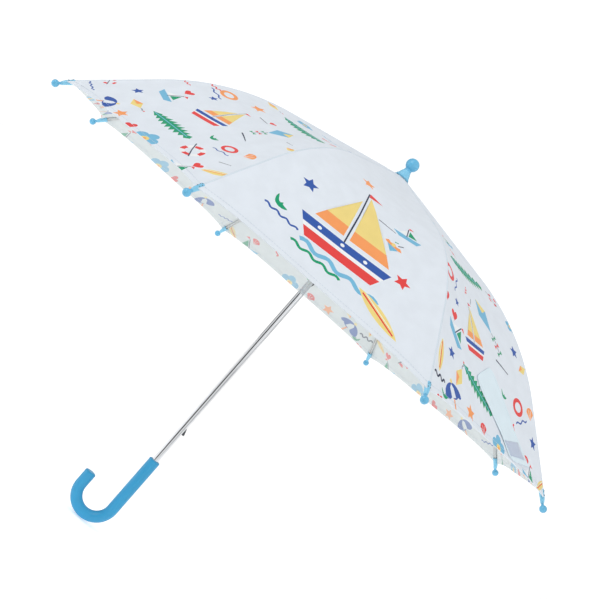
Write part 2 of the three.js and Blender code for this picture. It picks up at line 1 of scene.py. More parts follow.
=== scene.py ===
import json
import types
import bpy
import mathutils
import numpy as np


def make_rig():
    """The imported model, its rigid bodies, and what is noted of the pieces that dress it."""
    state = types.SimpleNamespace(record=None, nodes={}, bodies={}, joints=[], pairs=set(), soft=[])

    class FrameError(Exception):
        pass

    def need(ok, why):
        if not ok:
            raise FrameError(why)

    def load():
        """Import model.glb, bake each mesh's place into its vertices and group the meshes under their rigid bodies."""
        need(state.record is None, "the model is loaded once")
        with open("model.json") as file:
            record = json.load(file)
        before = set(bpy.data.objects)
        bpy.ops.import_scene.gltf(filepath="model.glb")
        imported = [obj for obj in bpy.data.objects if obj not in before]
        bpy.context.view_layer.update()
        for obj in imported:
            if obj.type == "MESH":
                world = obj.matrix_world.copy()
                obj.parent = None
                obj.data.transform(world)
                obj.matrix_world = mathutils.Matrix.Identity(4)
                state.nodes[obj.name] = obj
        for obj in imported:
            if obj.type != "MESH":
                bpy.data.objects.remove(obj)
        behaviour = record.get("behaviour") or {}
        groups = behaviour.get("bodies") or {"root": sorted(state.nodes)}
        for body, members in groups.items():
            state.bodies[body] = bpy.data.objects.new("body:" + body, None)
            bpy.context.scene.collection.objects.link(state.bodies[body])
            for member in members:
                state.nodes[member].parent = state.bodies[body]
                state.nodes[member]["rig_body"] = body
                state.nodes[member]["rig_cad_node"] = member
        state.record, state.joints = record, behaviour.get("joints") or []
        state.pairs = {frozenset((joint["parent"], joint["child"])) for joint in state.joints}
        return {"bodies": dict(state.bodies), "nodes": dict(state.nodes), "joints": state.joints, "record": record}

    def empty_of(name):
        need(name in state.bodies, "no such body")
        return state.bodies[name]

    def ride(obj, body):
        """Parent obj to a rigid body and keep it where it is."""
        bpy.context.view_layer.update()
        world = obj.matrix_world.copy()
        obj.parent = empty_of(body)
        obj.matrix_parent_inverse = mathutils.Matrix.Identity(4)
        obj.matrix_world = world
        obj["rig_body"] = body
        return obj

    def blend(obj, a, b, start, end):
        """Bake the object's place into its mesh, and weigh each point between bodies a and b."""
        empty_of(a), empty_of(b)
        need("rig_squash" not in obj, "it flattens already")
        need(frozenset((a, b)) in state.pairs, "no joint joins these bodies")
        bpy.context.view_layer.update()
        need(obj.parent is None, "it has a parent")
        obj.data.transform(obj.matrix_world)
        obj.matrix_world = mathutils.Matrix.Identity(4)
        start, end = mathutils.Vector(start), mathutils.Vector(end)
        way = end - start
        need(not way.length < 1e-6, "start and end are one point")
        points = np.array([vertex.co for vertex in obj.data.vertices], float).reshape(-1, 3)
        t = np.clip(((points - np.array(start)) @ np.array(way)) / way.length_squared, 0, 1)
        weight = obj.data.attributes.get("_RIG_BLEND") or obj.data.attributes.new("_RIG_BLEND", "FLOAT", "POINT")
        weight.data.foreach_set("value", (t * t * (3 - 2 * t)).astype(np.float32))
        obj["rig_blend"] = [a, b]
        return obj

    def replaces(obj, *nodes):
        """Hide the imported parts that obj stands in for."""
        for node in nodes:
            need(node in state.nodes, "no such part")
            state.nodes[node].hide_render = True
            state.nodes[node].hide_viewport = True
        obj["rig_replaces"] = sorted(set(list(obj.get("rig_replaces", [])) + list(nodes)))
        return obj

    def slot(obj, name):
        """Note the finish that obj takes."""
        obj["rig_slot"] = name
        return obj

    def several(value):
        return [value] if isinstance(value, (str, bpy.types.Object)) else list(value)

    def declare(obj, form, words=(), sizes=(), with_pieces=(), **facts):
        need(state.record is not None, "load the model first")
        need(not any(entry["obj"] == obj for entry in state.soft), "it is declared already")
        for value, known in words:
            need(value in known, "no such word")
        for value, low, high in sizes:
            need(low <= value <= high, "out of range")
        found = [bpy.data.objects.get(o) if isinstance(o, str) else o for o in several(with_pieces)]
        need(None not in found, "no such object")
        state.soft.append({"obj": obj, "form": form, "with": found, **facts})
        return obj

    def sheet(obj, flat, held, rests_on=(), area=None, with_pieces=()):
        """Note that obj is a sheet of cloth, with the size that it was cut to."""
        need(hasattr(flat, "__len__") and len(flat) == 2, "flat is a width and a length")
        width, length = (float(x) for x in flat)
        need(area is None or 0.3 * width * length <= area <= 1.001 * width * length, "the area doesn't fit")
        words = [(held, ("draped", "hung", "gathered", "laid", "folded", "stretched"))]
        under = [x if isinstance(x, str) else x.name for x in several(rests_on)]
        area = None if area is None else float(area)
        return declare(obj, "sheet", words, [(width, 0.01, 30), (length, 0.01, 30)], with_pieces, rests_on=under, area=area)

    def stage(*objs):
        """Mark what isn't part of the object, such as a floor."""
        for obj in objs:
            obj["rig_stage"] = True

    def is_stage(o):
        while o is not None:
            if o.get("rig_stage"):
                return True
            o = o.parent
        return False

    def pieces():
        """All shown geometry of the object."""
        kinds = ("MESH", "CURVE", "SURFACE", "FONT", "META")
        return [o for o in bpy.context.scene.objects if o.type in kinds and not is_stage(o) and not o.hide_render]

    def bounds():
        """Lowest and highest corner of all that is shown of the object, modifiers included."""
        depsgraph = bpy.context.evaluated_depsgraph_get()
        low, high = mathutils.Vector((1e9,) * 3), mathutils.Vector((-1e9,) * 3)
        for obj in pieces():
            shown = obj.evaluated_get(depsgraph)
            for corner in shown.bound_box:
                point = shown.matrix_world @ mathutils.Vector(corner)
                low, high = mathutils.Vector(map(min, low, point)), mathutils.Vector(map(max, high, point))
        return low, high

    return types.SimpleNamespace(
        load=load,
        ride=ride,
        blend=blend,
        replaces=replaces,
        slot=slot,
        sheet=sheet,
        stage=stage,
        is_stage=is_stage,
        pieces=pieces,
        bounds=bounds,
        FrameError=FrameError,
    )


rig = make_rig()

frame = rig.load()

import json
import math

import bpy
from mathutils import Matrix, Vector
from mathutils.geometry import delaunay_2d_cdt

CAD_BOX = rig.bounds()
SIZE_FILE = "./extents.json"

# All sizes below are in millimetres, in the umbrella's own frame: the shaft
# stands along +Z, the handle hooks towards -Y.
MM = 0.001
RIB_COUNT = 8
HALF_GORE = math.radians(22.5)

# Rib's line: straight, an even bend, straight to the tip.
RIM_RADIUS = 375.0
RIM_HEIGHT = 293.0
HINGE_RADIUS = 8.0
TOP_SLOPE = math.radians(13.5)
EDGE_SLOPE = math.radians(42.5)
BEND_START = 155.0
BEND_END = 290.0
BEND_RADIUS = (BEND_END - BEND_START) / (math.sin(EDGE_SLOPE) - math.sin(TOP_SLOPE))
TOP_RUN = (BEND_START - HINGE_RADIUS) / math.cos(TOP_SLOPE)
BEND_RUN = BEND_RADIUS * (EDGE_SLOPE - TOP_SLOPE)
EDGE_RUN = (RIM_RADIUS - BEND_END) / math.cos(EDGE_SLOPE)
RIB_LENGTH = TOP_RUN + BEND_RUN + EDGE_RUN
TOP_RISE = (BEND_START - HINGE_RADIUS) * math.tan(TOP_SLOPE)
BEND_RISE = BEND_RADIUS * (math.cos(TOP_SLOPE) - math.cos(EDGE_SLOPE))
EDGE_RISE = (RIM_RADIUS - BEND_END) * math.tan(EDGE_SLOPE)
NOTCH_HEIGHT = RIM_HEIGHT + TOP_RISE + BEND_RISE + EDGE_RISE

# Cloth.
CLOTH_START = -3.0
HEM_FROM_BALL = 17.5
HEM_AT = RIB_LENGTH - HEM_FROM_BALL
CLOTH_DIP = 5.0
CORNER_REACH = 6.5
CORNER_ZONE = 60.0
CORNER_SPREAD = 0.0018
RIPPLE = 1.3
RIPPLE_FADE = 80.0
RIPPLE_START = 20.0
RIPPLE_COUNT = 10
CLOTH_OUTSIDE = 3.1
CLOTH_INSIDE = 2.7
HEM_INSIDE = 2.32
HEM_DEPTH = 7.0
HEM_STITCH = 5.6
STITCH_PITCH = 3.2
STITCH_LENGTH = 2.3
THREAD = 0.22
SEAM_WIDTH = 2.6
GRID = 9.0

# Closure strap: the middles of its two ends as (distance from the hinge,
# across the gore), and the direction each end runs in.
STRAP_GORE = 2
STRAP_TOP = (326.0, -14.0)
STRAP_END = (397.0, 72.0)
STRAP_ACROSS_TOP = (-0.62, 0.78)
STRAP_ACROSS_END = (-0.25, 0.97)
STRAP_WIDTH = 52.0
STRAP_LENGTH = 112.0
STRAP_AREA = 0.0054
STRAP_LIFT = 0.4
STRAP_THICK = 0.7
PATCH_U = (0.76, 0.94)
PATCH_V = (-0.42, 0.32)

# Fixed pieces.
SHAFT_RADIUS = 4.0
SHAFT_BOTTOM = 10.3
SHAFT_TOP = 488.0
HANDLE_RADIUS = 7.25
HANDLE_TOP = 38.0
HOOK_START = -39.0
HOOK_RADIUS = 24.0
HOOK_TAIL = 18.0
FERRULE_BALL = 8.3
FERRULE_NECK = 4.5
FERRULE_SKIRT = 9.0
FERRULE_CENTRE = RIM_HEIGHT + 208.0
TIP_BALL = 4.25
TIP_SLEEVE = 3.05
TIP_SLEEVE_OUT = 0.62
TIP_BORE = 2.35
TIP_NECK = 1.55
TIP_LENGTH = 21.0
FLOOR_HEIGHT = -71.4
FLOOR_REACH = 9.0
FLOOR_FRONT = 0.55
FLOOR_GLOW = 0.42


# ------------------------------------------------------------ cloth shape

def rib_line(s):
    """Radius, height and slope of the rib's line, s from its hinge."""
    if s < TOP_RUN:
        r = HINGE_RADIUS + s * math.cos(TOP_SLOPE)
        return r, NOTCH_HEIGHT - s * math.sin(TOP_SLOPE), TOP_SLOPE
    if s < TOP_RUN + BEND_RUN:
        slope = TOP_SLOPE + (s - TOP_RUN) / BEND_RADIUS
        r = BEND_START + BEND_RADIUS * (math.sin(slope) - math.sin(TOP_SLOPE))
        drop = TOP_RISE + BEND_RADIUS * (math.cos(TOP_SLOPE) - math.cos(slope))
        return r, NOTCH_HEIGHT - drop, slope
    left = RIB_LENGTH - s
    r = RIM_RADIUS - left * math.cos(EDGE_SLOPE)
    return r, RIM_HEIGHT + left * math.sin(EDGE_SLOPE), EDGE_SLOPE


def offset_line(s, offset):
    r, z, slope = rib_line(s)
    return r + offset * math.sin(slope), z + offset * math.cos(slope), slope


def half_width(s, offset=CLOTH_OUTSIDE):
    return offset_line(s, offset)[0] * math.sin(HALF_GORE)


HEM_HALF = half_width(HEM_AT)


def cloth_point(s, y, offset):
    """A point of the cloth in the frame of a gore whose middle is along +X."""
    side = min(abs(y) / (offset_line(s, offset)[0] * math.sin(HALF_GORE)), 1.0)
    along = min(max(s / HEM_AT, 0.0), 1.0)
    reach = corner_reach(s, y)
    y *= 1 + reach * CORNER_SPREAD
    r, z, slope = offset_line(s + reach, offset)
    dip = CLOTH_DIP * math.sin(math.pi * along) * (1 - side * side) - pull(s, y, side)
    x = r * math.cos(HALF_GORE) - dip * math.sin(slope)
    return Vector((x, y, z - dip * math.cos(slope)))


def cloth_normal(s, y, offset):
    step = 0.5
    along = cloth_point(s + step, y, offset) - cloth_point(s - step, y, offset)
    if abs(y) < step:
        return Vector((-along.z, 0, along.x)).normalized()
    inner = math.copysign(abs(y) - step, y)
    across = cloth_point(s, y, offset) - cloth_point(s, inner, offset)
    if across.y < 0:
        across = -across
    return along.cross(across).normalized()


def pull(s, y, side):
    """Soft ripples that run from the corners of a taut gore into its cloth."""
    down, across = HEM_AT - s, HEM_HALF - abs(y)
    reach = math.hypot(down, across)
    turn = math.atan2(across, max(down, 0.0))
    near = math.exp(-reach / RIPPLE_FADE) * min(reach / RIPPLE_START, 1.0)
    return RIPPLE * near * (0.6 + math.sin(RIPPLE_COUNT * turn)) * (1 - side * side)


def corner_reach(s, y):
    """How far the cloth is drawn towards the tip, at the corners of its hem."""
    near = min(max((s - HEM_AT + CORNER_ZONE) / CORNER_ZONE, 0.0), 1.0)
    side = min(abs(y) / half_width(min(s, HEM_AT)), 1.0)
    return CORNER_REACH * near ** 2 * side ** 5


def fold_share(s, y):
    """1 on the middle line of a gore, where the cloth folds, and 0 on a rib."""
    return 1.0 - min(abs(y) / half_width(s), 1.0)


def gore_frame(gore):
    return Matrix.Rotation(2 * HALF_GORE * (gore - 1), 3, "Z")


def rib_frame(rib):
    return Matrix.Rotation(HALF_GORE * (2 * rib - 3), 3, "Z")


# -------------------------------------------------------------- materials

def srgb(red, green, blue):
    def linear(c):
        c /= 255
        return c / 12.92 if c <= 0.04045 else ((c + 0.055) / 1.055) ** 2.4
    return linear(red), linear(green), linear(blue), 1.0


class Nodes:
    """A new material with a Principled shader, and short ways to add nodes."""

    def __init__(self, name, colour, roughness, metallic=0.0):
        self.material = bpy.data.materials.new(name)
        self.material.use_nodes = True
        self.tree = self.material.node_tree
        self.tree.nodes.clear()
        self.shader = self.add("ShaderNodeBsdfPrincipled")
        output = self.add("ShaderNodeOutputMaterial")
        self.link(self.shader.outputs[0], output.inputs["Surface"])
        self.shader.inputs["Base Color"].default_value = colour
        self.shader.inputs["Roughness"].default_value = roughness
        self.shader.inputs["Metallic"].default_value = metallic
        self.material.diffuse_color = colour

    def add(self, kind, **settings):
        node = self.tree.nodes.new(kind)
        for key, value in settings.items():
            setattr(node, key, value)
        return node

    def link(self, a, b):
        self.tree.links.new(a, b)

    def math(self, operation, a, b=None):
        node = self.add("ShaderNodeMath", operation=operation)
        for socket, value in zip(node.inputs, (a, b)):
            if value is None:
                continue
            if isinstance(value, (int, float)):
                socket.default_value = value
            else:
                self.link(value, socket)
        return node.outputs[0]

    def noise(self, vector, scale, detail=3.0):
        node = self.add("ShaderNodeTexNoise")
        node.inputs["Scale"].default_value = scale
        node.inputs["Detail"].default_value = detail
        self.link(vector, node.inputs["Vector"])
        return node.outputs["Fac"]

    def stretched(self, vector, scale):
        node = self.add("ShaderNodeMapping")
        node.inputs["Scale"].default_value = scale
        self.link(vector, node.inputs["Vector"])
        return node.outputs[0]

    def spread(self, factor, low, high):
        node = self.add("ShaderNodeMapRange")
        node.inputs["From Min"].default_value = 0.3
        node.inputs["From Max"].default_value = 0.7
        node.inputs["To Min"].default_value = low
        node.inputs["To Max"].default_value = high
        self.link(factor, node.inputs["Value"])
        return node.outputs[0]

    def mottle(self, factor, colour, other):
        """Base colour that wanders between two near colours."""
        ramp = self.add("ShaderNodeValToRGB")
        ramp.color_ramp.elements[0].position = 0.35
        ramp.color_ramp.elements[1].position = 0.65
        ramp.color_ramp.elements[0].color = other
        ramp.color_ramp.elements[1].color = colour
        self.link(factor, ramp.inputs[0])
        self.link(ramp.outputs[0], self.shader.inputs["Base Color"])

    def bump(self, height, strength, distance):
        node = self.add("ShaderNodeBump")
        node.inputs["Strength"].default_value = strength
        node.inputs["Distance"].default_value = distance
        self.link(height, node.inputs["Height"])
        self.link(node.outputs[0], self.shader.inputs["Normal"])


def shade(colour, amount):
    return tuple(c * amount for c in colour[:3]) + (1.0,)


def blend_colours(a, b, share):
    return tuple(p * (1 - share) + q * share for p, q in zip(a, b))


def cloth_material(name, colour, roughness=0.78, thread=0.00055, sheen=0.12):
    """Plain weave: fine crossed threads, a little uneven, with a soft sheen, and a faint painted shade in the gaps
    between threads.
    """
    n = Nodes(name, colour, roughness)
    uv = n.add("ShaderNodeUVMap", uv_map="cloth").outputs[0]
    split = n.add("ShaderNodeSeparateXYZ")
    n.link(uv, split.inputs[0])
    turn = 2 * math.pi / (2 * thread)
    warp = n.math("SINE", n.math("MULTIPLY", split.outputs[0], turn))
    weft = n.math("SINE", n.math("MULTIPLY", split.outputs[1], turn))
    weave = n.math("MULTIPLY", warp, weft)
    slub = n.noise(n.stretched(uv, (900, 140, 1)), 1.0, 2.0)
    height = n.math("ADD", n.math("MULTIPLY", weave, 0.5), slub)
    n.bump(height, 0.35, 0.00012)
    # Painted shade: the colour darkens faintly where the weave's bump is low, between the threads; the noise adds
    # random tone.
    weave_shade_and_tone = n.math("ADD", n.math("MULTIPLY", weave, 0.06), n.noise(uv, 55.0, 4.0))
    n.mottle(weave_shade_and_tone, colour, shade(colour, 0.962))
    n.link(n.spread(slub, roughness - 0.06, roughness + 0.06), n.shader.inputs["Roughness"])
    n.shader.inputs["Sheen Weight"].default_value = sheen
    n.shader.inputs["Specular IOR Level"].default_value = 0.3
    return n.material


def plastic_material(name, colour, roughness, grain=900.0, other=0.93):
    """Moulded plastic: faint flow marks in its colour and a fine satin grain."""
    n = Nodes(name, colour, roughness)
    place = n.add("ShaderNodeTexCoord").outputs["Object"]
    n.mottle(n.noise(n.stretched(place, (60, 60, 18)), 1.0, 4.0), colour, shade(colour, other))
    fine = n.noise(place, grain, 3.0)
    n.bump(fine, 0.16, 0.00008)
    n.link(n.spread(fine, roughness - 0.06, roughness + 0.08), n.shader.inputs["Roughness"])
    n.shader.inputs["Coat Weight"].default_value = 0.18
    n.shader.inputs["Coat Roughness"].default_value = 0.2
    return n.material


def metal_material(name, colour, roughness, lines=(2600, 2600, 30), spots=0.85, bare=1.0):
    """Drawn metal: fine lines along its length and slightly duller patches."""
    n = Nodes(name, colour, roughness, bare)
    place = n.add("ShaderNodeTexCoord").outputs["Object"]
    drawn = n.noise(n.stretched(place, lines), 1.0, 2.0)
    n.mottle(n.noise(place, 90.0, 4.0), colour, shade(colour, spots))
    n.bump(drawn, 0.05, 0.00002)
    n.link(n.spread(drawn, roughness * 0.8, roughness * 1.3), n.shader.inputs["Roughness"])
    return n.material


def thread_material(name, colour):
    """Twisted sewing thread, with painted shade in the grooves of its twist."""
    n = Nodes(name, colour, 0.7)
    place = n.add("ShaderNodeTexCoord").outputs["Object"]
    twist_relief_and_shade = n.noise(n.stretched(place, (3200, 3200, 3200)), 1.0, 2.0)
    # Painted shade: the colour darkens where the twist's bump is low, in its grooves.
    n.mottle(twist_relief_and_shade, colour, shade(colour, 0.8))
    n.bump(twist_relief_and_shade, 0.4, 0.00006)
    n.shader.inputs["Sheen Weight"].default_value = 0.2
    return n.material


INKS = {
    "plain": srgb(230, 237, 245),
    "white": srgb(243, 246, 248),
    "yellow": srgb(244, 220, 134),
    "orange": srgb(251, 160, 94),
    "red": srgb(234, 66, 64),
    "green": srgb(0, 158, 110),
    "blue": srgb(44, 88, 172),
    "sky": srgb(118, 188, 222),
    "dark": srgb(40, 50, 78),
}
INK_ORDER = list(INKS)
INSIDE_CLOTH = srgb(222, 228, 229)
PRINT_THROUGH = 0.62

printed = [cloth_material(f"canopy_{ink}", INKS[ink]) for ink in INK_ORDER]
faded = [
    cloth_material(
        f"inside_{ink}",
        INSIDE_CLOTH if ink in ("plain", "white") else
        blend_colours(INSIDE_CLOTH, INKS[ink], PRINT_THROUGH),
        0.85,
    )
    for ink in INK_ORDER
]
strap_cloth = cloth_material("strap_weave", srgb(226, 242, 250), 0.82, 0.0008)
hook_tape = cloth_material("hook_tape", srgb(192, 204, 224), 0.95, 0.0012, 0.4)
seam_cloth = cloth_material("seam_weave", srgb(222, 232, 241), 0.8)
pale_thread = thread_material("pale_thread", srgb(214, 226, 238))
dark_thread = thread_material("dark_thread", srgb(70, 86, 110))
handle_plastic = plastic_material("handle_blue", srgb(34, 152, 202), 0.42)
trim_plastic = plastic_material("trim_blue", srgb(106, 190, 230), 0.3)
skirt_plastic = plastic_material("skirt_blue", srgb(134, 206, 238), 0.34)
runner_plastic = plastic_material("runner_blue", srgb(124, 196, 230), 0.4)
chrome = metal_material("bright_chrome", srgb(218, 220, 223), 0.03, spots=0.94)
steel = metal_material("galvanised_steel", srgb(228, 230, 230), 0.5, (2000, 2000, 2000), 0.92, 0.3)
spring = metal_material("spring_steel", srgb(92, 94, 98), 0.36, (1500, 1500, 1500))


# ---------------------------------------------------------- mesh helpers

def new_mesh(name, points, faces, materials, slots=None, smooth=True):
    """A mesh object from points in millimetres."""
    data = bpy.data.meshes.new(name)
    data.from_pydata([tuple(p[i] * MM for i in range(3)) for p in points], [], faces)
    for material in materials:
        data.materials.append(material)
    if slots:
        data.polygons.foreach_set("material_index", slots)
    data.polygons.foreach_set("use_smooth", [smooth] * len(data.polygons))
    data.update()
    obj = bpy.data.objects.new(name, data)
    bpy.context.scene.collection.objects.link(obj)
    return obj


def sharpen(obj, angle=38):
    """Smooth shading that keeps edges sharper than an angle."""
    obj.data.set_sharp_from_angle(angle=math.radians(angle))


def set_uv(obj, places):
    """The cloth's own flat coordinates, in metres, one for each vertex."""
    layer = obj.data.uv_layers.new(name="cloth")
    for loop in obj.data.loops:
        s, y = places[loop.vertex_index]
        layer.data[loop.index].uv = (s * MM + 0.01, y * MM + 0.2)


def blend_by(obj, bodies, shares, slot):
    """Blend a piece between two bodies, by a share for each of its vertices."""
    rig.blend(obj, *bodies)
    obj.data.attributes["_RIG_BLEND"].data.foreach_set("value", shares)
    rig.slot(obj, slot)


def stand_in(obj, body, node, slot):
    """A piece that rides on a body in place of a CAD node."""
    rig.ride(obj, body)
    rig.replaces(obj, node)
    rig.slot(obj, slot)


def tube_faces(rings, around):
    """Faces between rings of points, and over both ends."""
    faces = []
    for row in range(rings - 1):
        low, high = row * around, (row + 1) * around
        for i in range(around):
            j = (i + 1) % around
            faces.append((low + i, low + j, high + j, high + i))
    faces.append(tuple(reversed(range(around))))
    faces.append(tuple((rings - 1) * around + i for i in range(around)))
    return faces


def slab_faces(rows, columns):
    """Faces of a thin slab between two grids of points, the outer grid first."""
    wide = columns + 1
    under = (rows + 1) * wide
    faces = []
    for i in range(rows):
        for j in range(columns):
            a = i * wide + j
            faces.append((a, a + wide, a + wide + 1, a + 1))
            faces.append(tuple(under + b for b in (a, a + 1, a + wide + 1, a + wide)))
    rim = [i * wide for i in range(rows + 1)] + [rows * wide + j for j in range(1, wide)]
    rim += [i * wide + columns for i in range(rows - 1, -1, -1)] + list(range(columns - 1, 0, -1))
    faces += [(a, a + under, b + under, b) for a, b in zip(rim, rim[1:] + rim[:1])]
    return faces


def turned(profile, segments, flutes=None):
    """Rings of points about Z and their faces, from (radius, height) pairs."""
    points = []
    for r, z in profile:
        for i in range(segments):
            a = 2 * math.pi * i / segments
            reach = r + (flutes(a, z) if flutes and r > 0.1 else 0.0)
            points.append(Vector((reach * math.cos(a), reach * math.sin(a), z)))
    return points, tube_faces(len(profile), segments)


def rounded(r0, z0, r1, z1, r2, z2, size, steps=4):
    """A soft corner at (r1, z1) between its two neighbours."""
    corner = Vector((r1, z1))
    before = (Vector((r0, z0)) - corner).normalized() * size + corner
    after = (Vector((r2, z2)) - corner).normalized() * size + corner
    out = []
    for i in range(steps + 1):
        t = i / steps
        out.append(tuple(before * (1 - t) ** 2 + corner * 2 * t * (1 - t) + after * t * t))
    return out


def soft_profile(corners, sizes):
    """A profile whose corners are rounded, each by its own size."""
    out = [corners[0]]
    for before, here, after, size in zip(corners, corners[1:], corners[2:], sizes):
        out += rounded(*before, *here, *after, size) if size else [here]
    out.append(corners[-1])
    return out


def joined(parts):
    """Several (points, faces, slot) parts as one list each."""
    points, faces, slots = [], [], []
    for part_points, part_faces, slot in parts:
        base = len(points)
        points += part_points
        faces += [tuple(base + i for i in face) for face in part_faces]
        slots += [slot] * len(part_faces)
    return points, faces, slots


def stitch(centre, along, normal, length=STITCH_LENGTH, radius=THREAD):
    """One stitch of thread: a short bead that dips into the cloth at its ends."""
    side = normal.cross(along).normalized()
    points = []
    rings = ((-0.5, 0.35, -0.5), (-0.3, 1.0, 0.2), (0.3, 1.0, 0.2), (0.5, 0.35, -0.5))
    around = 6
    for t, size, rise in rings:
        middle = centre + along * (t * length) + normal * (rise * radius)
        for i in range(around):
            a = 2 * math.pi * i / around
            points.append(middle + (side * math.cos(a) + normal * math.sin(a)) * radius * size)
    return points, tube_faces(len(rings), around)


# ------------------------------------------------------------ print shapes
# A shape is a list of (ink, outline). Outlines are in the shape's own plane,
# about one unit tall, x to the right and y towards the ferrule.

def disc(cx, cy, rx, ry=None, start=0, sweep=360, count=20):
    ry = rx if ry is None else ry
    turns = [math.radians(start + sweep * i / count) for i in range(count + (sweep < 360))]
    return [(cx + rx * math.cos(t), cy + ry * math.sin(t)) for t in turns]


def ribbon(line, width, taper=0.0):
    """A band along a line of points, thinner towards its end by taper."""
    left, right = [], []
    for i, (x, y) in enumerate(line):
        x0, y0 = line[max(i - 1, 0)]
        x1, y1 = line[min(i + 1, len(line) - 1)]
        size = math.hypot(x1 - x0, y1 - y0)
        half = width / 2 * (1 - taper * i / (len(line) - 1))
        ox, oy = -(y1 - y0) / size * half, (x1 - x0) / size * half
        left.append((x + ox, y + oy))
        right.append((x - ox, y - oy))
    return left + right[::-1]


def softened(points):
    """A closed outline with its corners cut."""
    out = []
    for (x0, y0), (x1, y1) in zip(points, points[1:] + points[:1]):
        out += [(0.8 * x0 + 0.2 * x1, 0.8 * y0 + 0.2 * y1),
                (0.2 * x0 + 0.8 * x1, 0.2 * y0 + 0.8 * y1)]
    return out


def wave_line(length, humps, height, count=28):
    return [
        (length * (i / count - 0.5), height * math.sin(2 * math.pi * humps * i / count))
        for i in range(count + 1)
    ]


def star(ink):
    points = []
    for i in range(10):
        reach = 0.5 if i % 2 == 0 else 0.24
        a = math.radians(90 + 36 * i)
        points.append((reach * math.cos(a), reach * math.sin(a)))
    return [(ink, points)]


def heart(ink="red"):
    points = []
    for i in range(24):
        t = 2 * math.pi * i / 24
        x = 16 * math.sin(t) ** 3
        y = 13 * math.cos(t) - 5 * math.cos(2 * t) - 2 * math.cos(3 * t) - math.cos(4 * t)
        points.append((x / 34, y / 34))
    return [(ink, points)]


def sprout():
    """A crown of three leaves."""
    return [("green", softened([(-0.36, 0.52), (-0.14, 0.08), (0.0, 0.02), (0.12, 0.2),
                                (0.14, 0.02), (0.52, -0.02), (0.3, -0.22), (0.02, -0.28),
                                (-0.24, -0.16), (-0.36, 0.16)]))]


def waves(ink="blue"):
    return [(ink, ribbon(wave_line(1.0, 3.5, 0.035), 0.06))]


def dash(ink="dark"):
    return [(ink, ribbon([(-0.5, 0), (0, 0.01), (0.5, 0)], 0.07, 0.4))]


def squiggle(ink="red"):
    return [(ink, ribbon(wave_line(1.0, 2.5, 0.09), 0.1))]


def ring_buoy(first="red", second="white"):
    out = []
    for i in range(8):
        ink = first if i % 2 == 0 else second
        arc = disc(0, 0, 0.5, start=45 * i, sweep=45, count=5)
        out.append((ink, arc + disc(0, 0, 0.3, start=45 * i, sweep=45, count=5)[::-1]))
    out.append(("dark", ribbon([(-0.55, 0.5), (-0.1, 0.02), (0.4, -0.42)], 0.05)))
    return out


def swim_ring(ink):
    """A plain ring floating on one wave."""
    ripple = [(x, y - 0.62) for x, y in wave_line(1.2, 2, 0.05)]
    return [(ink, disc(0, 0, 0.5, 0.4)), ("plain", disc(0, 0, 0.3, 0.22)),
            ("blue", ribbon(ripple, 0.07))]


def blossom(ink="sky"):
    out = []
    for i in range(5):
        a = math.radians(90 + 72 * i)
        out.append((ink, disc(0.3 * math.cos(a), 0.3 * math.sin(a), 0.21, count=14)))
    return out + [("yellow", disc(0, 0, 0.16)), ("orange", disc(0, 0, 0.07, count=10))]


def palm_leaf():
    """A long green leaf, alike on both sides of a pale rib."""
    edge = []
    for i in range(9):
        x = -0.48 + 0.12 * i
        reach = 0.05 + 0.12 * math.sin(math.pi * (i + 1) / 10)
        edge += [(x, 0.35 * reach), (x + 0.1, reach)]
    body = [(-0.56, 0)] + edge + [(0.64, 0)] + [(x, -y) for x, y in edge[::-1]]
    return [("green", body), ("sky", ribbon([(-0.5, 0), (0, 0.004), (0.55, 0)], 0.02))]


def kite():
    """A small kite with a short tail."""
    return [
        ("yellow", [(-0.42, 0), (0, 0.24), (0.42, 0.02), (0, -0.24)]),
        ("orange", [(-0.42, 0), (0, 0.24), (0.02, 0)]),
        ("dark", ribbon([(0.42, 0.02), (0.52, 0.06), (0.6, 0), (0.7, 0.05)], 0.03)),
        ("red", disc(0.72, 0.05, 0.045, count=8)),
    ]


def tall_kite():
    """A pale blue kite with bows on its tail."""
    out = [
        ("sky", [(0, 0.66), (-0.28, 0.34), (0, -0.1), (0.28, 0.34)]),
        ("yellow", [(0, 0.66), (0, 0.34), (0.28, 0.34)]),
        ("dark", ribbon([(0, -0.1), (0.03, -0.32), (0, -0.56)], 0.02)),
    ]
    for ink, y in (("green", -0.22), ("red", -0.38), ("green", -0.54)):
        out += [(ink, [(x, y + 0.05), (x, y - 0.05), (0.01, y)]) for x in (-0.1, 0.12)]
    return out


def small_boat():
    return [
        ("sky", [(-0.5, -0.12), (0.5, -0.02), (0.36, -0.26), (-0.28, -0.32)]),
        ("dark", ribbon([(-0.02, -0.1), (0.0, 0.42)], 0.035)),
        ("green", [(0.03, -0.02), (0.06, 0.34), (0.34, 0.04)]),
        ("white", [(-0.04, -0.04), (-0.04, 0.28), (-0.28, -0.04)]),
        ("red", [(0.0, 0.42), (0.2, 0.5), (0.03, 0.55)]),
    ]


def sundae():
    return [
        ("sky", [(-0.3, 0.0), (0.34, 0.02), (0.06, -0.42)]),
        ("orange", [(-0.42, 0.02), (-0.3, 0.2), (-0.16, 0.12), (0.0, 0.24), (0.14, 0.12),
                    (0.3, 0.2), (0.46, 0.04), (0.3, -0.04), (-0.3, -0.04)]),
        ("yellow", disc(0, 0.1, 0.1)),
        ("dark", ribbon([(0.16, 0.26), (0.34, 0.5)], 0.05)),
        ("green", ribbon([(-0.06, 0.34), (0.1, 0.46)], 0.05)),
    ]


def shell(ink="red"):
    fan = [(0, -0.4)] + disc(0, -0.05, 0.42, 0.4, start=10, sweep=160, count=10)
    return [(ink, fan), ("white", ribbon([(0, -0.35), (-0.14, 0.2)], 0.035)),
            ("white", ribbon([(0, -0.35), (0.14, 0.2)], 0.035))]


def surfboard(ink="yellow", stripe="red"):
    def outline(width):
        points = []
        for i in range(13):
            t = i / 12
            points.append((t - 0.5, width * math.sin(math.pi * t) ** 0.8))
        return points + [(x, -w) for x, w in points[-2:0:-1]]
    return [(ink, outline(0.13)), (stripe, ribbon([(-0.4, 0), (0.4, 0)], 0.035)),
            ("white", ribbon([(-0.36, 0.05), (0.3, 0.05)], 0.015))]


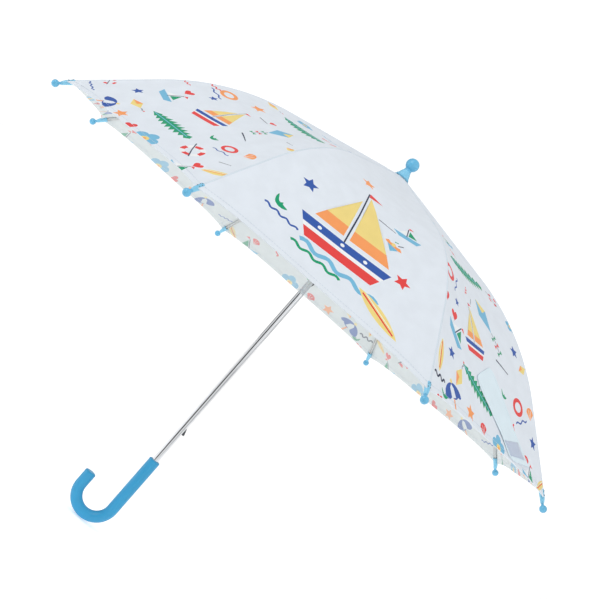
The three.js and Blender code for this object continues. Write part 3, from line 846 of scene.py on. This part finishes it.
def sailing_boat(detail=True):
    """A sailing boat with two plain sails; the biggest print on the cloth."""
    def hull(ink, top, low):
        edge = [(-0.56 + 0.5 * (0.12 - y), 0.62 - 0.5 * (0.12 - y), y) for y in (top, low)]
        (left, right, y), (low_left, low_right, low_y) = edge
        return ink, [(left, y), (low_left, low_y), (low_right, low_y), (right, y)]
    out = [
        ("yellow", [(0.04, 1.2), (0.04, 0.2), (0.56, 0.2)]),
        ("yellow", [(-0.04, 1.0), (-0.42, 0.2), (-0.04, 0.2)]),
        ("orange", [(0.04, 0.38), (0.04, 0.2), (0.56, 0.2), (0.466, 0.38)]),
        ("orange", [(-0.04, 0.38), (-0.334, 0.38), (-0.42, 0.2), (-0.04, 0.2)]),
        hull("blue", 0.12, 0.0), hull("white", 0.0, -0.06), hull("red", -0.06, -0.2),
        ("dark", ribbon([(0, 0.12), (0, 0.7), (0, 1.28)], 0.018)),
        ("red", [(0.01, 1.3), (0.01, 1.2), (0.2, 1.25)]),
    ]
    if detail:
        out += [("white", disc(x, 0.06, 0.026, count=12)) for x in (-0.3, 0.0, 0.3)]
    return out


def parasol(ink="blue"):
    """A beach parasol: a scalloped dome with a pale panel on an orange pole."""
    dome = disc(0, 0.02, 0.5, 0.42, sweep=180, count=12)
    edge = [(x, 0.02 - 0.07 * abs(math.sin(2.5 * math.pi * (x + 0.5)))) for x in
            (-0.4, -0.3, -0.2, -0.1, 0.0, 0.1, 0.2, 0.3, 0.4)]
    return [("orange", ribbon([(0.02, 0.1), (0.02, -0.56)], 0.07)), (ink, dome + edge),
            ("plain", [(-0.12, 0.0), (-0.1, 0.3), (0.0, 0.4), (0.12, 0.28), (0.14, 0.0)]),
            ("yellow", disc(0.02, 0.48, 0.07, count=10))]


# Prints as (shape, distance from the hinge, across the gore, size, turn).
FRONT_PRINTS = [
    (star("blue"), 292, -67, 20, 10),
    (sprout(), 346, -76, 21, -4),
    (waves("blue"), 359, -67, 42, 0),
    (star("orange"), 195, -24, 18, 20),
    (waves("sky"), 366, 8, 96, 0),
    (waves("green"), 376, -16, 60, 0),
    (surfboard("yellow", "red"), 376, 62, 64, -24),
    (sailing_boat(), 336, -4, 92, 6),
    (small_boat(), 238, 40, 34, 10),
    (sundae(), 276, 34, 25, -6),
    (dash(), 252, 18, 22, 2),
    (star("red"), 314, 63, 20, -10),
]
BRIGHT_PRINTS = [
    (palm_leaf(), 357, -2, 64, 0),
    (sailing_boat(False), 308, -6, 44, 8),
    (small_boat(), 318, -70, 36, -22),
    (heart(), 293, -72, 14, 10),
    (star("blue"), 347, -91, 15, 4),
    (kite(), 365, -60, 30, -12),
    (star("orange"), 395, -39, 18, 12),
    (parasol(), 397, -74, 32, -40),
    (waves("blue"), 388, -118, 26, -20),
    (ring_buoy("red", "plain"), 364, -124, 16, 0),
    (heart(), 400, -8, 15, 40),
    (dash(), 408, -6, 20, -20),
    (blossom(), 403, 26, 34, 0),
    (ring_buoy(), 370, 67, 27, 0),
    (sprout(), 332, 45, 15, 20),
    (small_boat(), 403, 96, 30, -20),
    (heart(), 383, 100, 13, 0),
    (swim_ring("red"), 332, 76, 20, 10),
    (shell("orange"), 322, 99, 18, -20),
    (dash(), 356, 106, 14, 30),
    (surfboard("yellow", "orange"), 374, 122, 34, 40),
    (swim_ring("orange"), 243, -66, 26, -10),
    (squiggle("red"), 250, -86, 18, 10),
    (star("blue"), 271, -55, 12, 0),
    (kite(), 183, -58, 24, 10),
    (star("orange"), 221, -35, 20, 12),
    (dash(), 241, 4, 20, -10),
    (heart(), 234, 12, 10, 0),
    (tall_kite(), 258, 43, 44, -4),
    (dash(), 299, 51, 24, -24),
    (dash(), 259, 78, 12, 0),
    (kite(), 271, 96, 18, 0),
    (squiggle("red"), 281, -98, 14, 0),
    (palm_leaf(), 189, 10, 72, -6),
    (blossom(), 150, -30, 22, 20),
    (heart(), 150, 12, 14, 0),
    (shell("red"), 176, 52, 14, -20),
    (waves("sky"), 122, -6, 34, 10),
    (star("blue"), 96, 8, 16, 0),
]
SIDE_PRINTS = [
    (palm_leaf(), 190, -14, 84, 12),
    (swim_ring("red"), 240, -84, 26, 60),
    (heart(), 282, -104, 14, 10),
    (squiggle("red"), 236, -38, 16, 60),
    (dash(), 246, -30, 14, 60),
    (star("blue"), 275, -76, 11, 0),
    (heart(), 296, -85, 15, 0),
    (small_boat(), 314, -80, 38, -48),
    (sailing_boat(False), 308, -34, 42, 8),
    (tall_kite(), 257, 14, 56, 39),
    (ring_buoy("red", "plain"), 188, 58, 18, 0),
    (blossom(), 216, 82, 18, 0),
    (star("blue"), 256, 75, 17, 10),
    (dash(), 296, 36, 30, -8),
    (kite(), 363, -74, 34, 60),
    (surfboard("yellow", "red"), 358, -116, 40, 80),
    (squiggle("dark"), 383, -118, 22, -10),
    (palm_leaf(), 355, -32, 62, -22),
    (star("blue"), 344, -92, 15, 0),
    (parasol(), 393, -88, 36, 20),
    (star("orange"), 392, -50, 19, 0),
    (heart(), 406, -118, 12, 0),
    (sprout(), 398, -108, 14, 0),
    (shell("red"), 396, -19, 18, 10),
    (dash(), 407, -14, 18, -10),
    (blossom(), 402, 18, 30, 0),
    (swim_ring("red"), 328, 74, 27, 30),
    (shell("orange"), 322, 105, 20, 10),
    (sprout(), 330, 38, 14, 0),
    (squiggle("red"), 366, 60, 24, 76),
    (star("blue"), 356, 111, 17, 0),
    (kite(), 273, 90, 24, 30),
    (shell("red"), 384, 92, 16, 10),
    (small_boat(), 401, 96, 34, -20),
    (surfboard("yellow", "red"), 396, 128, 30, 40),
    (star("red"), 162, -20, 16, 0),
    (small_boat(), 118, 8, 26, 10),
    (waves("sky"), 82, -4, 24, 0),
]
PRINTS = [FRONT_PRINTS, SIDE_PRINTS, BRIGHT_PRINTS, BRIGHT_PRINTS,
          SIDE_PRINTS, BRIGHT_PRINTS, SIDE_PRINTS, BRIGHT_PRINTS]


def placed(prints):
    """Every print of a gore as (ink number, outline in the cloth's own plane)."""
    out = []
    for shape, s, y, size, turn in prints:
        cos, sin = math.cos(math.radians(turn)), math.sin(math.radians(turn))
        for ink, outline in shape:
            points = []
            for u, v in outline:
                points.append((s - size * (u * sin + v * cos), y + size * (u * cos - v * sin)))
            out.append((INK_ORDER.index(ink), anticlockwise(points)))
    return out


def anticlockwise(points):
    area = sum(a[0] * b[1] - b[0] * a[1] for a, b in zip(points, points[1:] + points[:1]))
    return points if area > 0 else points[::-1]


# ---------------------------------------------------------------- canopy

def spaced(low, high, step):
    count = max(1, round((high - low) / step))
    return [low + (high - low) * i / count for i in range(count + 1)]


HEM_ROWS = [HEM_AT - HEM_DEPTH - 0.8, HEM_AT - HEM_DEPTH, HEM_AT]
ROWS = spaced(CLOTH_START, HEM_ROWS[0], GRID) + HEM_ROWS[1:]
SUBROWS = spaced(CLOTH_START, HEM_AT, 4.0)


def inside_at(s):
    """Offset of the cloth's inner face, which steps in over the turned hem."""
    start = HEM_ROWS[0]
    t = min(max((s - start) / (HEM_ROWS[1] - start), 0.0), 1.0)
    return CLOTH_INSIDE + (HEM_INSIDE - CLOTH_INSIDE) * t


def flat_cut(side, prints):
    """The half gore's flat cut as triangles, each with its ink."""
    edge = [(s, side * half_width(s)) for s in SUBROWS]
    across = spaced(0, abs(edge[-1][1]), GRID)
    outline = [(s, 0.0) for s in ROWS]
    outline += [(HEM_AT, side * y) for y in across[1:-1]]
    outline = anticlockwise(outline + edge[::-1])
    points = [Vector(p) for p in outline]
    faces = [list(range(len(outline)))]
    for s in ROWS[1:-1]:
        count = int((half_width(s) - 4) / GRID)
        points += [Vector((s, side * GRID * (i + 1))) for i in range(count)]
    inks = [0]
    for ink, shape in prints:
        if not any(p[1] * side > -1 for p in shape):
            continue
        faces.append(list(range(len(points), len(points) + len(shape))))
        points += [Vector(p) for p in shape]
        inks.append(ink)
    found = delaunay_2d_cdt(points, [], faces, 1, 1e-4)
    triangles, colours = [], []
    for face, origins in zip(found[2], found[5]):
        if 0 in origins:
            triangles.append(tuple(face))
            colours.append(inks[max(origins)])
    used = sorted({i for face in triangles for i in face})
    order = {old: new for new, old in enumerate(used)}
    places = [(found[0][i].x, found[0][i].y) for i in used]
    return places, [tuple(order[i] for i in face) for face in triangles], colours


def open_edges(triangles):
    edges = [edge for face in triangles for edge in zip(face, face[1:] + face[:1])]
    known = set(edges)
    return [(a, b) for a, b in edges if (b, a) not in known]


def half_gore(gore, side):
    letter = "a" if side < 0 else "b"
    rib = gore if side < 0 else gore % RIB_COUNT + 1
    turn = gore_frame(gore)
    places, triangles, colours = flat_cut(side, placed(PRINTS[gore - 1]))
    count = len(places)
    points = [turn @ cloth_point(s, y, CLOTH_OUTSIDE) for s, y in places]
    points += [turn @ cloth_point(s, y, inside_at(s)) for s, y in places]
    faces = list(triangles) + [tuple(i + count for i in face[::-1]) for face in triangles]
    slots = colours + [c + len(INK_ORDER) for c in colours]
    for a, b in open_edges(triangles):
        faces.append((b, a, a + count, b + count))
        slots.append(0)
    obj = new_mesh(f"canopy_{gore}_{letter}", points, faces, printed + faded, slots)
    set_uv(obj, places + places)
    outward = [turn @ cloth_normal(s, y, CLOTH_OUTSIDE) for s, y in places]
    normals = []
    for polygon in obj.data.polygons:
        for i in polygon.vertices:
            if len(polygon.vertices) == 4:
                normals.append(polygon.normal)
            else:
                normals.append(outward[i] if i < count else -outward[i - count])
    obj.data.normals_split_custom_set(normals)
    start = turn @ cloth_point(HEM_AT, side * half_width(HEM_AT), CLOTH_OUTSIDE)
    end = turn @ cloth_point(HEM_AT, 0, CLOTH_OUTSIDE)
    fold = f"fold_{gore}_{letter}"
    share = [fold_share(s, y) for s, y in places]
    bodies = (f"rib_{rib}", fold, start * MM, end * MM)
    blend_by(obj, bodies, share + share, "canopy_cloth")
    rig.replaces(obj, f"gore_{gore}_{letter}")
    thread = hem_stitches(gore, side, letter, turn, bodies)
    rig.sheet(obj, flat=(half_width(HEM_AT) * MM, (HEM_AT - CLOTH_START) * MM),
             held="stretched", rests_on=[f"rib_{rib}"], area=cut_area(), with_pieces=[thread])


def cut_area():
    total = 0.0
    for low, high in zip(SUBROWS, SUBROWS[1:]):
        total += (high - low) * (half_width(low) + half_width(high)) / 2
    return total * MM * MM


def hem_stitches(gore, side, letter, turn, bodies):
    """The line of stitches that holds the turned hem, outside and inside."""
    s = HEM_AT - HEM_STITCH
    parts, share = [], []
    y = 2.0
    while y < half_width(s) - 2:
        for offset, facing in ((CLOTH_OUTSIDE + 0.05, 1), (HEM_INSIDE - 0.05, -1)):
            centre = turn @ cloth_point(s, side * y, offset)
            ahead = turn @ cloth_point(s, side * (y + 1), offset)
            normal = turn @ cloth_normal(s, side * y, CLOTH_OUTSIDE) * facing
            made = stitch(centre, (ahead - centre).normalized(), normal)
            parts.append((*made, 0))
            share += [fold_share(s, y)] * len(made[0])
        y += STITCH_PITCH
    points, faces, _ = joined(parts)
    obj = new_mesh(f"hem_thread_{gore}_{letter}", points, faces, [pale_thread])
    blend_by(obj, bodies, share, "canopy_cloth")
    return obj


for number in range(1, RIB_COUNT + 1):
    half_gore(number, -1)
    half_gore(number, 1)


# ----------------------------------------------------------------- seams

def seam(rib):
    """The felled seam over a rib, with a row of stitches down each side."""
    turn = rib_frame(rib)
    rows = spaced(14.0, HEM_AT - 0.2, 6.0)
    across = [-0.5, -0.38, -0.12, 0.0, 0.12, 0.38, 0.5]
    rises = [-0.15, 0.16, 0.2, 0.24, 0.2, 0.16, -0.15]
    points, faces = [], []

    def on_rib(s, y, rise):
        r, z, slope = offset_line(s, CLOTH_OUTSIDE)
        fall = abs(y) * math.tan(HALF_GORE) + CLOTH_DIP * math.sin(
            math.pi * min(s / HEM_AT, 1.0)) * min(2 * abs(y) / half_width(s), 1.0) * 0.9
        return turn @ Vector((r + (rise - fall) * math.sin(slope), y,
                              z + (rise - fall) * math.cos(slope)))

    for s in rows:
        for t, rise in zip(across, rises):
            points.append(on_rib(s, t * SEAM_WIDTH, rise))
    wide = len(across)
    for row in range(len(rows) - 1):
        for i in range(wide - 1):
            a = row * wide + i
            faces.append((a, a + wide, a + wide + 1, a + 1))
    parts = [(points, faces, 0)]
    s = 16.0
    while s < HEM_AT - 2:
        for y in (-0.8, 0.8):
            centre, ahead = on_rib(s, y, 0.2), on_rib(s + 1, y, 0.2)
            outward = on_rib(s, y, 1.2) - centre
            parts.append((*stitch(centre, (ahead - centre).normalized(), outward.normalized(),
                                  1.9, 0.13), 1))
        s += 2.8
    points, faces, slots = joined(parts)
    obj = new_mesh(f"seam_{rib}", points, faces, [seam_cloth, pale_thread], slots)
    set_uv(obj, [(p.length, p.z) for p in points])
    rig.ride(obj, f"rib_{rib}")
    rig.slot(obj, "canopy_cloth")


for number in range(1, RIB_COUNT + 1):
    seam(number)


# --------------------------------------------------------- closure strap

def strap_place(u, v):
    """Strap's own length and width (0 to 1, -0.5 to 0.5) laid on its gore."""
    middle = [a + (b - a) * u for a, b in zip(STRAP_TOP, STRAP_END)]
    across = [a + (b - a) * u for a, b in zip(STRAP_ACROSS_TOP, STRAP_ACROSS_END)]
    s, y = (m + v * STRAP_WIDTH * a for m, a in zip(middle, across))
    return min(s, HEM_AT - 3.0), y


def strap_width(u):
    """Half width along the strap: softly rounded at the free end, a little waisted."""
    nose = 0.72 + 0.28 * math.sqrt(max(0.0, 1 - (1 - min(u / 0.16, 1.0)) ** 2))
    waist = 1 - 0.1 * math.sin(math.pi * min(max((u - 0.3) / 0.7, 0.0), 1.0))
    return 0.5 * nose * waist


def strap_lift(u, v):
    """How far the band stands off the cloth; it ripples as loose cloth does."""
    ripple = 0.5 * math.sin(2 * math.pi * (u * 1.3 + v * 0.35)) ** 2
    return STRAP_LIFT + ripple * math.sin(math.pi * min(max(u, 0.0), 1.0))


def strap_share(s, y):
    return fold_share(s, y) if y > 0 else 1.0


def strap():
    """The band, its sewing and its patch of hook tape."""
    turn = gore_frame(STRAP_GORE)
    rows, columns = 48, 16
    places, points = [], []
    for layer in (STRAP_THICK, 0.0):
        for i in range(rows + 1):
            u = i / rows
            for j in range(columns + 1):
                v = (2 * j / columns - 1) * strap_width(u)
                s, y = strap_place(u, v)
                side = abs(2 * j / columns - 1)
                soft = 0.25 * max(side - 0.85, 0) / 0.15
                rim = 0.16 if 0.8 < side < 0.97 and layer else 0.0
                offset = CLOTH_OUTSIDE + strap_lift(u, v) + layer + rim
                offset -= soft if layer else -soft
                places.append((s, y))
                points.append(turn @ cloth_point(s, y, offset))
    middle = sum(points, Vector()) / len(points)
    foot = points[rows * (columns + 1)]
    obj = new_mesh("strap", points, slab_faces(rows, columns), [strap_cloth])
    sharpen(obj, 50)
    set_uv(obj, places)
    bodies = (f"rib_{STRAP_GORE + 1}", f"fold_{STRAP_GORE}_b", foot * MM, middle * MM)
    blend_by(obj, bodies, [strap_share(*place) for place in places], "strap_cloth")
    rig.replaces(obj, "closure_strap")

    def on_strap(u, v, rise):
        s, y = strap_place(u, v)
        return turn @ cloth_point(s, y, CLOTH_OUTSIDE + strap_lift(u, v) + rise)

    parts, share = [], []

    def sew(u, v, du, dv):
        centre = on_strap(u, v, STRAP_THICK + 0.04)
        ahead = on_strap(u + du, v + dv, STRAP_THICK + 0.04)
        normal = on_strap(u, v, STRAP_THICK + 1.0) - centre
        made = stitch(centre, (ahead - centre).normalized(), normal.normalized(), 1.5, 0.16)
        parts.append((*made, 0))
        share.extend([strap_share(*strap_place(u, v))] * len(made[0]))

    for i in range(4, 58):
        u = i / 60
        for side in (-1, 1):
            width = strap_width(u) * side * 0.84
            sew(u, width, 0.01, strap_width(u + 0.01) * side * 0.84 - width)
    (u0, u1), (v0, v1) = PATCH_U, PATCH_V
    for i in range(9):
        for u in (u0 + 0.012, u1 - 0.012):
            sew(u, v0 + (v1 - v0) * i / 8, 0, 0.01)
    for i in range(11):
        for v in (v0 + 0.03, v1 - 0.03):
            sew(u0 + (u1 - u0) * i / 10, v, 0.01, 0)
    points, faces, _ = joined(parts)
    sewing = new_mesh("strap_thread", points, faces, [pale_thread])
    blend_by(sewing, bodies, share, "strap_cloth")
    patch, share = hook_patch(on_strap)
    blend_by(patch, bodies, share, "strap_cloth")
    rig.sheet(obj, flat=(STRAP_WIDTH * MM, STRAP_LENGTH * MM), held="folded",
             rests_on=["canopy_2_b"], area=STRAP_AREA, with_pieces=[sewing, patch])


def hook_patch(on_strap):
    """A small square of hook tape: a felt base with rows of tiny hooks."""
    points, places = [], []
    (u0, u1), (v0, v1) = PATCH_U, PATCH_V
    steps = 8
    for rise in (1.35, 0.72):
        for i in range(steps + 1):
            for j in range(steps + 1):
                u = u0 + (u1 - u0) * i / steps
                v = v0 + (v1 - v0) * j / steps
                edge = i in (0, steps) or j in (0, steps)
                points.append(on_strap(u, v, rise - (0.25 if edge and rise > 1 else 0)))
                places.append(strap_place(u, v))
    faces = slab_faces(steps, steps)
    for i in range(15):
        for j in range(14):
            u = u0 + (u1 - u0) * (0.1 + 0.8 * i / 14)
            v = v0 + (v1 - v0) * (0.12 + 0.76 * j / 13)
            base = on_strap(u, v, 1.3)
            along = (on_strap(u + 0.01, v, 1.3) - base).normalized() * 0.14
            across = (on_strap(u, v + 0.01, 1.3) - base).normalized() * 0.14
            first = len(points)
            points += [base + along, base - along + across, base - along - across,
                       on_strap(u + 0.004, v, 1.75)]
            faces += [(first, first + 1, first + 3), (first + 1, first + 2, first + 3),
                      (first + 2, first, first + 3), (first + 2, first + 1, first)]
            places += [strap_place(u, v)] * 4
    obj = new_mesh("strap_hook_patch", points, faces, [hook_tape])
    set_uv(obj, places)
    return obj, [strap_share(*place) for place in places]


strap()


# ------------------------------------------------------------ fixed pieces

def cone_height(r):
    return NOTCH_HEIGHT - (r - HINGE_RADIUS) * math.tan(TOP_SLOPE)


def ball_profile(radius, centre, from_radius, rows=18):
    start = math.asin(from_radius / radius)
    out = []
    for i in range(rows + 1):
        a = math.pi - start - (math.pi - start) * i / rows
        out.append((max(radius * math.sin(a), 0.02), centre + radius * math.cos(a)))
    return out


def ferrule():
    """Ball, neck and fluted skirt of the ferrule, moulded in one."""
    seat = CLOTH_OUTSIDE / math.cos(TOP_SLOPE) + 1.3
    base = cone_height(FERRULE_SKIRT) + seat
    ball = FERRULE_CENTRE
    neck_top = ball - math.sqrt(FERRULE_BALL ** 2 - FERRULE_NECK ** 2)
    skirt = soft_profile(
        [(SHAFT_RADIUS + 0.3, cone_height(SHAFT_RADIUS) + seat), (FERRULE_SKIRT, base),
         (FERRULE_SKIRT, base + 1.2), (FERRULE_SKIRT - 1, base + 2),
         (FERRULE_NECK + 2, base + 6), (FERRULE_NECK, neck_top - 1.5),
         (FERRULE_NECK, neck_top - 0.1)],
        [0.35, 0.35, 0.3, 1.2, 1.0])
    low, high = base + 2.0, base + 9.0

    def flutes(a, z):
        if not low < z < high:
            return 0.0
        fade = math.sin(math.pi * (z - low) / (high - low)) ** 0.6
        return -0.32 * fade * (0.5 + 0.5 * math.cos(16 * a))

    fine = []
    for (r0, z0), (r1, z1) in zip(skirt, skirt[1:]):
        steps = max(1, round(abs(z1 - z0) / 0.5))
        fine += [(r0 + (r1 - r0) * i / steps, z0 + (z1 - z0) * i / steps) for i in range(steps)]
    fine.append(skirt[-1])
    split = max(i for i, p in enumerate(fine) if p[1] < neck_top - 2.2)
    lower = turned(fine[:split + 1], 96, flutes)
    upper = turned(fine[split:] + ball_profile(FERRULE_BALL, ball, FERRULE_NECK), 96)
    points, faces, slots = joined([(*lower, 1), (*upper, 0)])
    obj = new_mesh("ferrule", points, faces, [trim_plastic, skirt_plastic], slots)
    sharpen(obj)
    stand_in(obj, "frame", "ferrule_cap", "trim_plastic")
    edge = FERRULE_SKIRT + 1
    inside = CLOTH_OUTSIDE / math.cos(TOP_SLOPE) + 0.3
    washer = soft_profile(
        [(4.3, cone_height(4.3) + inside), (edge, cone_height(edge) + inside),
         (edge, cone_height(edge) + inside + 0.7), (4.3, cone_height(4.3) + inside + 0.7)],
        [0.2, 0.3])
    obj = new_mesh("ferrule_lip", *turned(washer, 96)[:2], [skirt_plastic])
    sharpen(obj)
    stand_in(obj, "frame", "ferrule_washer", "trim_plastic")


def tip(rib):
    """Moulded ball on a short neck, and the sleeve sewn to the cloth's corner."""
    turn = rib_frame(rib)
    tilt = Matrix.Rotation(math.pi / 2 + EDGE_SLOPE, 3, "Y")
    centre = Vector((RIM_RADIUS, 0, RIM_HEIGHT))
    ball = turned([(0.02, -6.6), (TIP_NECK, -6.6), (TIP_NECK, -4.6)]
                  + ball_profile(TIP_BALL, 0, TIP_NECK + 0.1, 16), 40)
    sleeve = turned(soft_profile(
        [(1.3, -6.6), (1.3, -6.2), (TIP_NECK + 0.5, -6.1), (TIP_SLEEVE - 0.4, -10.5),
         (TIP_SLEEVE - 0.2, -15), (TIP_SLEEVE, -TIP_LENGTH), (TIP_BORE, -TIP_LENGTH),
         (TIP_BORE, -TIP_LENGTH + 2)][::-1], [0.3, 0.3, 0, 1.0, 0.5, 0]), 40)
    sewing = []
    for side, height in ((-0.5, -14.5), (0.5, -14.5), (-0.5, -18.2), (0.5, -18.2), (0.0, -19.6)):
        outward = Vector((-math.cos(side), math.sin(side), 0))
        place = outward * (TIP_SLEEVE - 0.02) + Vector((-TIP_SLEEVE_OUT, 0, height))
        sewing.append((*stitch(place, Vector((0, 0, 1)), outward, 1.8, 0.26), 2))
    for p in sleeve[0]:
        p.x -= TIP_SLEEVE_OUT * min(max((-p.z - 7.0) / 4.0, 0.0), 1.0)
    points, faces, slots = joined([(*ball, 0), (*sleeve, 1)] + sewing)
    points = [turn @ (centre + tilt @ p) for p in points]
    obj = new_mesh(f"tip_cap_{rib}", points, faces, [trim_plastic, skirt_plastic, dark_thread],
                   slots)
    sharpen(obj)
    stand_in(obj, f"rib_{rib}", f"tip_{rib}", "trim_plastic")


def handle():
    """Straight grip, half-circle hook and short tail, with softened ends."""
    grip = HANDLE_TOP - HOOK_START
    hook = math.pi * HOOK_RADIUS
    length = grip + hook + HOOK_TAIL

    def line(distance):
        if distance <= grip:
            return Vector((0, 0, HANDLE_TOP - distance)), Vector((0, 0, -1))
        if distance <= grip + hook:
            a = (distance - grip) / HOOK_RADIUS
            across, down = HOOK_RADIUS * (math.cos(a) - 1), HOOK_RADIUS * math.sin(a)
            return (Vector((0, across, HOOK_START - down)),
                    Vector((0, -math.sin(a), -math.cos(a))))
        up = distance - grip - hook
        return Vector((0, -2 * HOOK_RADIUS, HOOK_START + up)), Vector((0, 0, 1))

    rings = [(2.5, SHAFT_RADIUS + 0.25), (0.25, SHAFT_RADIUS + 0.25), (0.0, SHAFT_RADIUS + 0.5)]
    edge = 1.3
    for i in range(7):
        a = math.pi / 2 * i / 6
        rings.append((edge * (1 - math.cos(a)), HANDLE_RADIUS - edge + edge * math.sin(a)))
    rings[3] = (0.0, HANDLE_RADIUS - edge)
    rings += [(d, HANDLE_RADIUS) for d in spaced(edge + 2, length - 2.6, 2.6)]
    for i in range(9):
        a = math.pi / 2 * i / 8
        rings.append((length - 2.2 * (1 - math.sin(a)), HANDLE_RADIUS - 2.2 * (1 - math.cos(a))))
    rings += [(length, 3.0), (length, 0.05)]
    segments = 56
    points = []
    for distance, radius in rings:
        place, ahead = line(distance)
        side = Vector((1, 0, 0))
        other = ahead.cross(side)
        for i in range(segments):
            a = 2 * math.pi * i / segments
            parting = 0.05 * math.exp(-(math.sin(a) / 0.07) ** 2)
            size = radius + (parting if radius > 6 else 0) - 0.05
            points.append(place + (side * math.cos(a) + other * math.sin(a)) * size)
    faces = tube_faces(len(rings), segments)
    obj = new_mesh("hook_handle", points, faces, [handle_plastic])
    sharpen(obj, 50)
    stand_in(obj, "frame", "handle", "handle_plastic")


def shaft():
    profile = [(0.02, SHAFT_BOTTOM), (SHAFT_RADIUS, SHAFT_BOTTOM), (SHAFT_RADIUS, SHAFT_TOP),
               (0.02, SHAFT_TOP)]
    obj = new_mesh("shaft_tube", *turned(profile, 72), [chrome])
    sharpen(obj)
    stand_in(obj, "frame", "shaft", "shaft_chrome")


ferrule()
handle()
shaft()
for number in range(1, RIB_COUNT + 1):
    tip(number)


# ------------------------------------------- finishes on the frame's pieces

def finish_node(name, material, edge):
    obj = frame["nodes"][name]
    obj.data.materials.clear()
    obj.data.materials.append(material)
    bevel = obj.modifiers.new("edge", "BEVEL")
    bevel.width = edge * MM
    bevel.segments = 2
    bevel.limit_method = "ANGLE"
    bevel.angle_limit = math.radians(30)
    bevel.harden_normals = False


for name in ("top_notch", "notch_wire", "stop_pin"):
    finish_node(name, steel, 0.08)
for name in ("upper_catch", "lower_catch"):
    finish_node(name, spring, 0.12)
finish_node("runner", runner_plastic, 0.2)
for number in range(1, RIB_COUNT + 1):
    for piece in ("rib", "stretcher", "rivet"):
        finish_node(f"{piece}_{number}", steel, 0.08)


# ------------------------------------------------------- camera and studio

def bright_room():
    """White to the camera; cards of grey round the set for everything else."""
    world = bpy.data.worlds.new("studio")
    world.use_nodes = True
    tree = world.node_tree
    tree.nodes.clear()
    add, link = tree.nodes.new, tree.links.new
    white, room = add("ShaderNodeBackground"), add("ShaderNodeBackground")
    white.inputs["Color"].default_value = (1, 1, 1, 1)
    white.inputs["Strength"].default_value = BACKDROP
    room.inputs["Strength"].default_value = ROOM_LIGHT
    around = add("ShaderNodeTexGradient")
    around.gradient_type = "RADIAL"
    cards = add("ShaderNodeValToRGB")
    cards.color_ramp.elements.remove(cards.color_ramp.elements[1])
    cards.color_ramp.elements[0].position = 0.0
    cards.color_ramp.elements[0].color = (1, 1, 1, 1)
    for position, grey in ROOM_CARDS:
        cards.color_ramp.elements.new(position).color = (grey, grey, grey, 1)
    link(add("ShaderNodeTexCoord").outputs["Generated"], around.inputs[0])
    link(around.outputs["Fac"], cards.inputs[0])
    link(cards.outputs[0], room.inputs["Color"])
    mix = add("ShaderNodeMixShader")
    link(add("ShaderNodeLightPath").outputs["Is Camera Ray"], mix.inputs[0])
    link(room.outputs[0], mix.inputs[1])
    link(white.outputs[0], mix.inputs[2])
    link(mix.outputs[0], add("ShaderNodeOutputWorld").inputs["Surface"])
    bpy.context.scene.world = world


def soft_lamp(name, place, aim, size, power):
    data = bpy.data.lights.new(name, "AREA")
    data.shape = "DISK"
    data.size = size
    data.energy = power
    lamp = bpy.data.objects.new(name, data)
    lamp.location = place
    lamp.rotation_euler = (Vector(aim) - Vector(place)).to_track_quat("-Z", "Y").to_euler()
    bpy.context.scene.collection.objects.link(lamp)


BACKDROP = 1.1
ROOM_LIGHT = 1.1
# Black and grey cards that stand round the set, as (place round it, grey).
ROOM_CARDS = [
    (0.04, 0.7), (0.06, 0.22), (0.17, 0.22), (0.2, 0.8), (0.26, 0.8), (0.34, 0.7), (0.37, 0.7),
    (0.376, 0.0), (0.458, 0.0), (0.464, 0.8), (0.5, 0.95), (0.55, 1.0), (0.6, 0.6), (0.7, 0.5),
    (0.75, 0.9), (0.82, 0.9), (0.85, 0.4), (0.93, 0.4), (0.96, 0.7),
]
bright_room()
soft_lamp("key", (1.6, -1.7, 1.9), (0, 0, 0.3), 1.6, 24)
soft_lamp("fill", (1.4, 1.6, 0.9), (0, 0, 0.3), 1.8, 6)

floor = bpy.data.meshes.new("floor")
corners = [(-FLOOR_REACH, -FLOOR_REACH), (FLOOR_FRONT, -FLOOR_REACH),
           (FLOOR_FRONT, FLOOR_REACH), (-FLOOR_REACH, FLOOR_REACH)]
floor.from_pydata([(x, y, FLOOR_HEIGHT * MM) for x, y in corners], [], [(0, 1, 2, 3)])
floor_object = bpy.data.objects.new("floor", floor)
bpy.context.scene.collection.objects.link(floor_object)
paper = Nodes("pale_paper", (0.92, 0.92, 0.92, 1.0), 0.9)
paper.shader.inputs["Emission Color"].default_value = (1.0, 1.0, 1.0, 1.0)
paper.shader.inputs["Emission Strength"].default_value = FLOOR_GLOW
paper_place = paper.add("ShaderNodeTexCoord").outputs["Object"]
paper.bump(paper.noise(paper_place, 400.0), 0.1, 0.0001)
floor.materials.append(paper.material)
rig.stage(floor_object)

CAMERA_AT = Vector((1.4955, -0.0226, 0.2678))
CAMERA_AIM = Vector((0.0, 0.0044, 0.2929))
CAMERA_ROLL = math.radians(41.1)
camera_data = bpy.data.cameras.new("camera")
camera_data.sensor_width = 36.0
camera_data.lens = 75.84
camera = bpy.data.objects.new("camera", camera_data)
forward = (CAMERA_AIM - CAMERA_AT).normalized()
level = forward.cross(Vector((0, 0, 1))).normalized()
above = level.cross(forward)
right = level * math.cos(CAMERA_ROLL) + above * math.sin(CAMERA_ROLL)
upward = right.cross(forward)
camera.matrix_world = Matrix((right, upward, -forward)).transposed().to_4x4()
camera.location = CAMERA_AT
bpy.context.scene.collection.objects.link(camera)
bpy.context.scene.camera = camera
bpy.context.scene.view_settings.view_transform = "Standard"

VISUAL_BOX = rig.bounds()
with open(SIZE_FILE, "w") as out:
    json.dump({"cad": [list(p) for p in CAD_BOX], "visual": [list(p) for p in VISUAL_BOX]}, out)
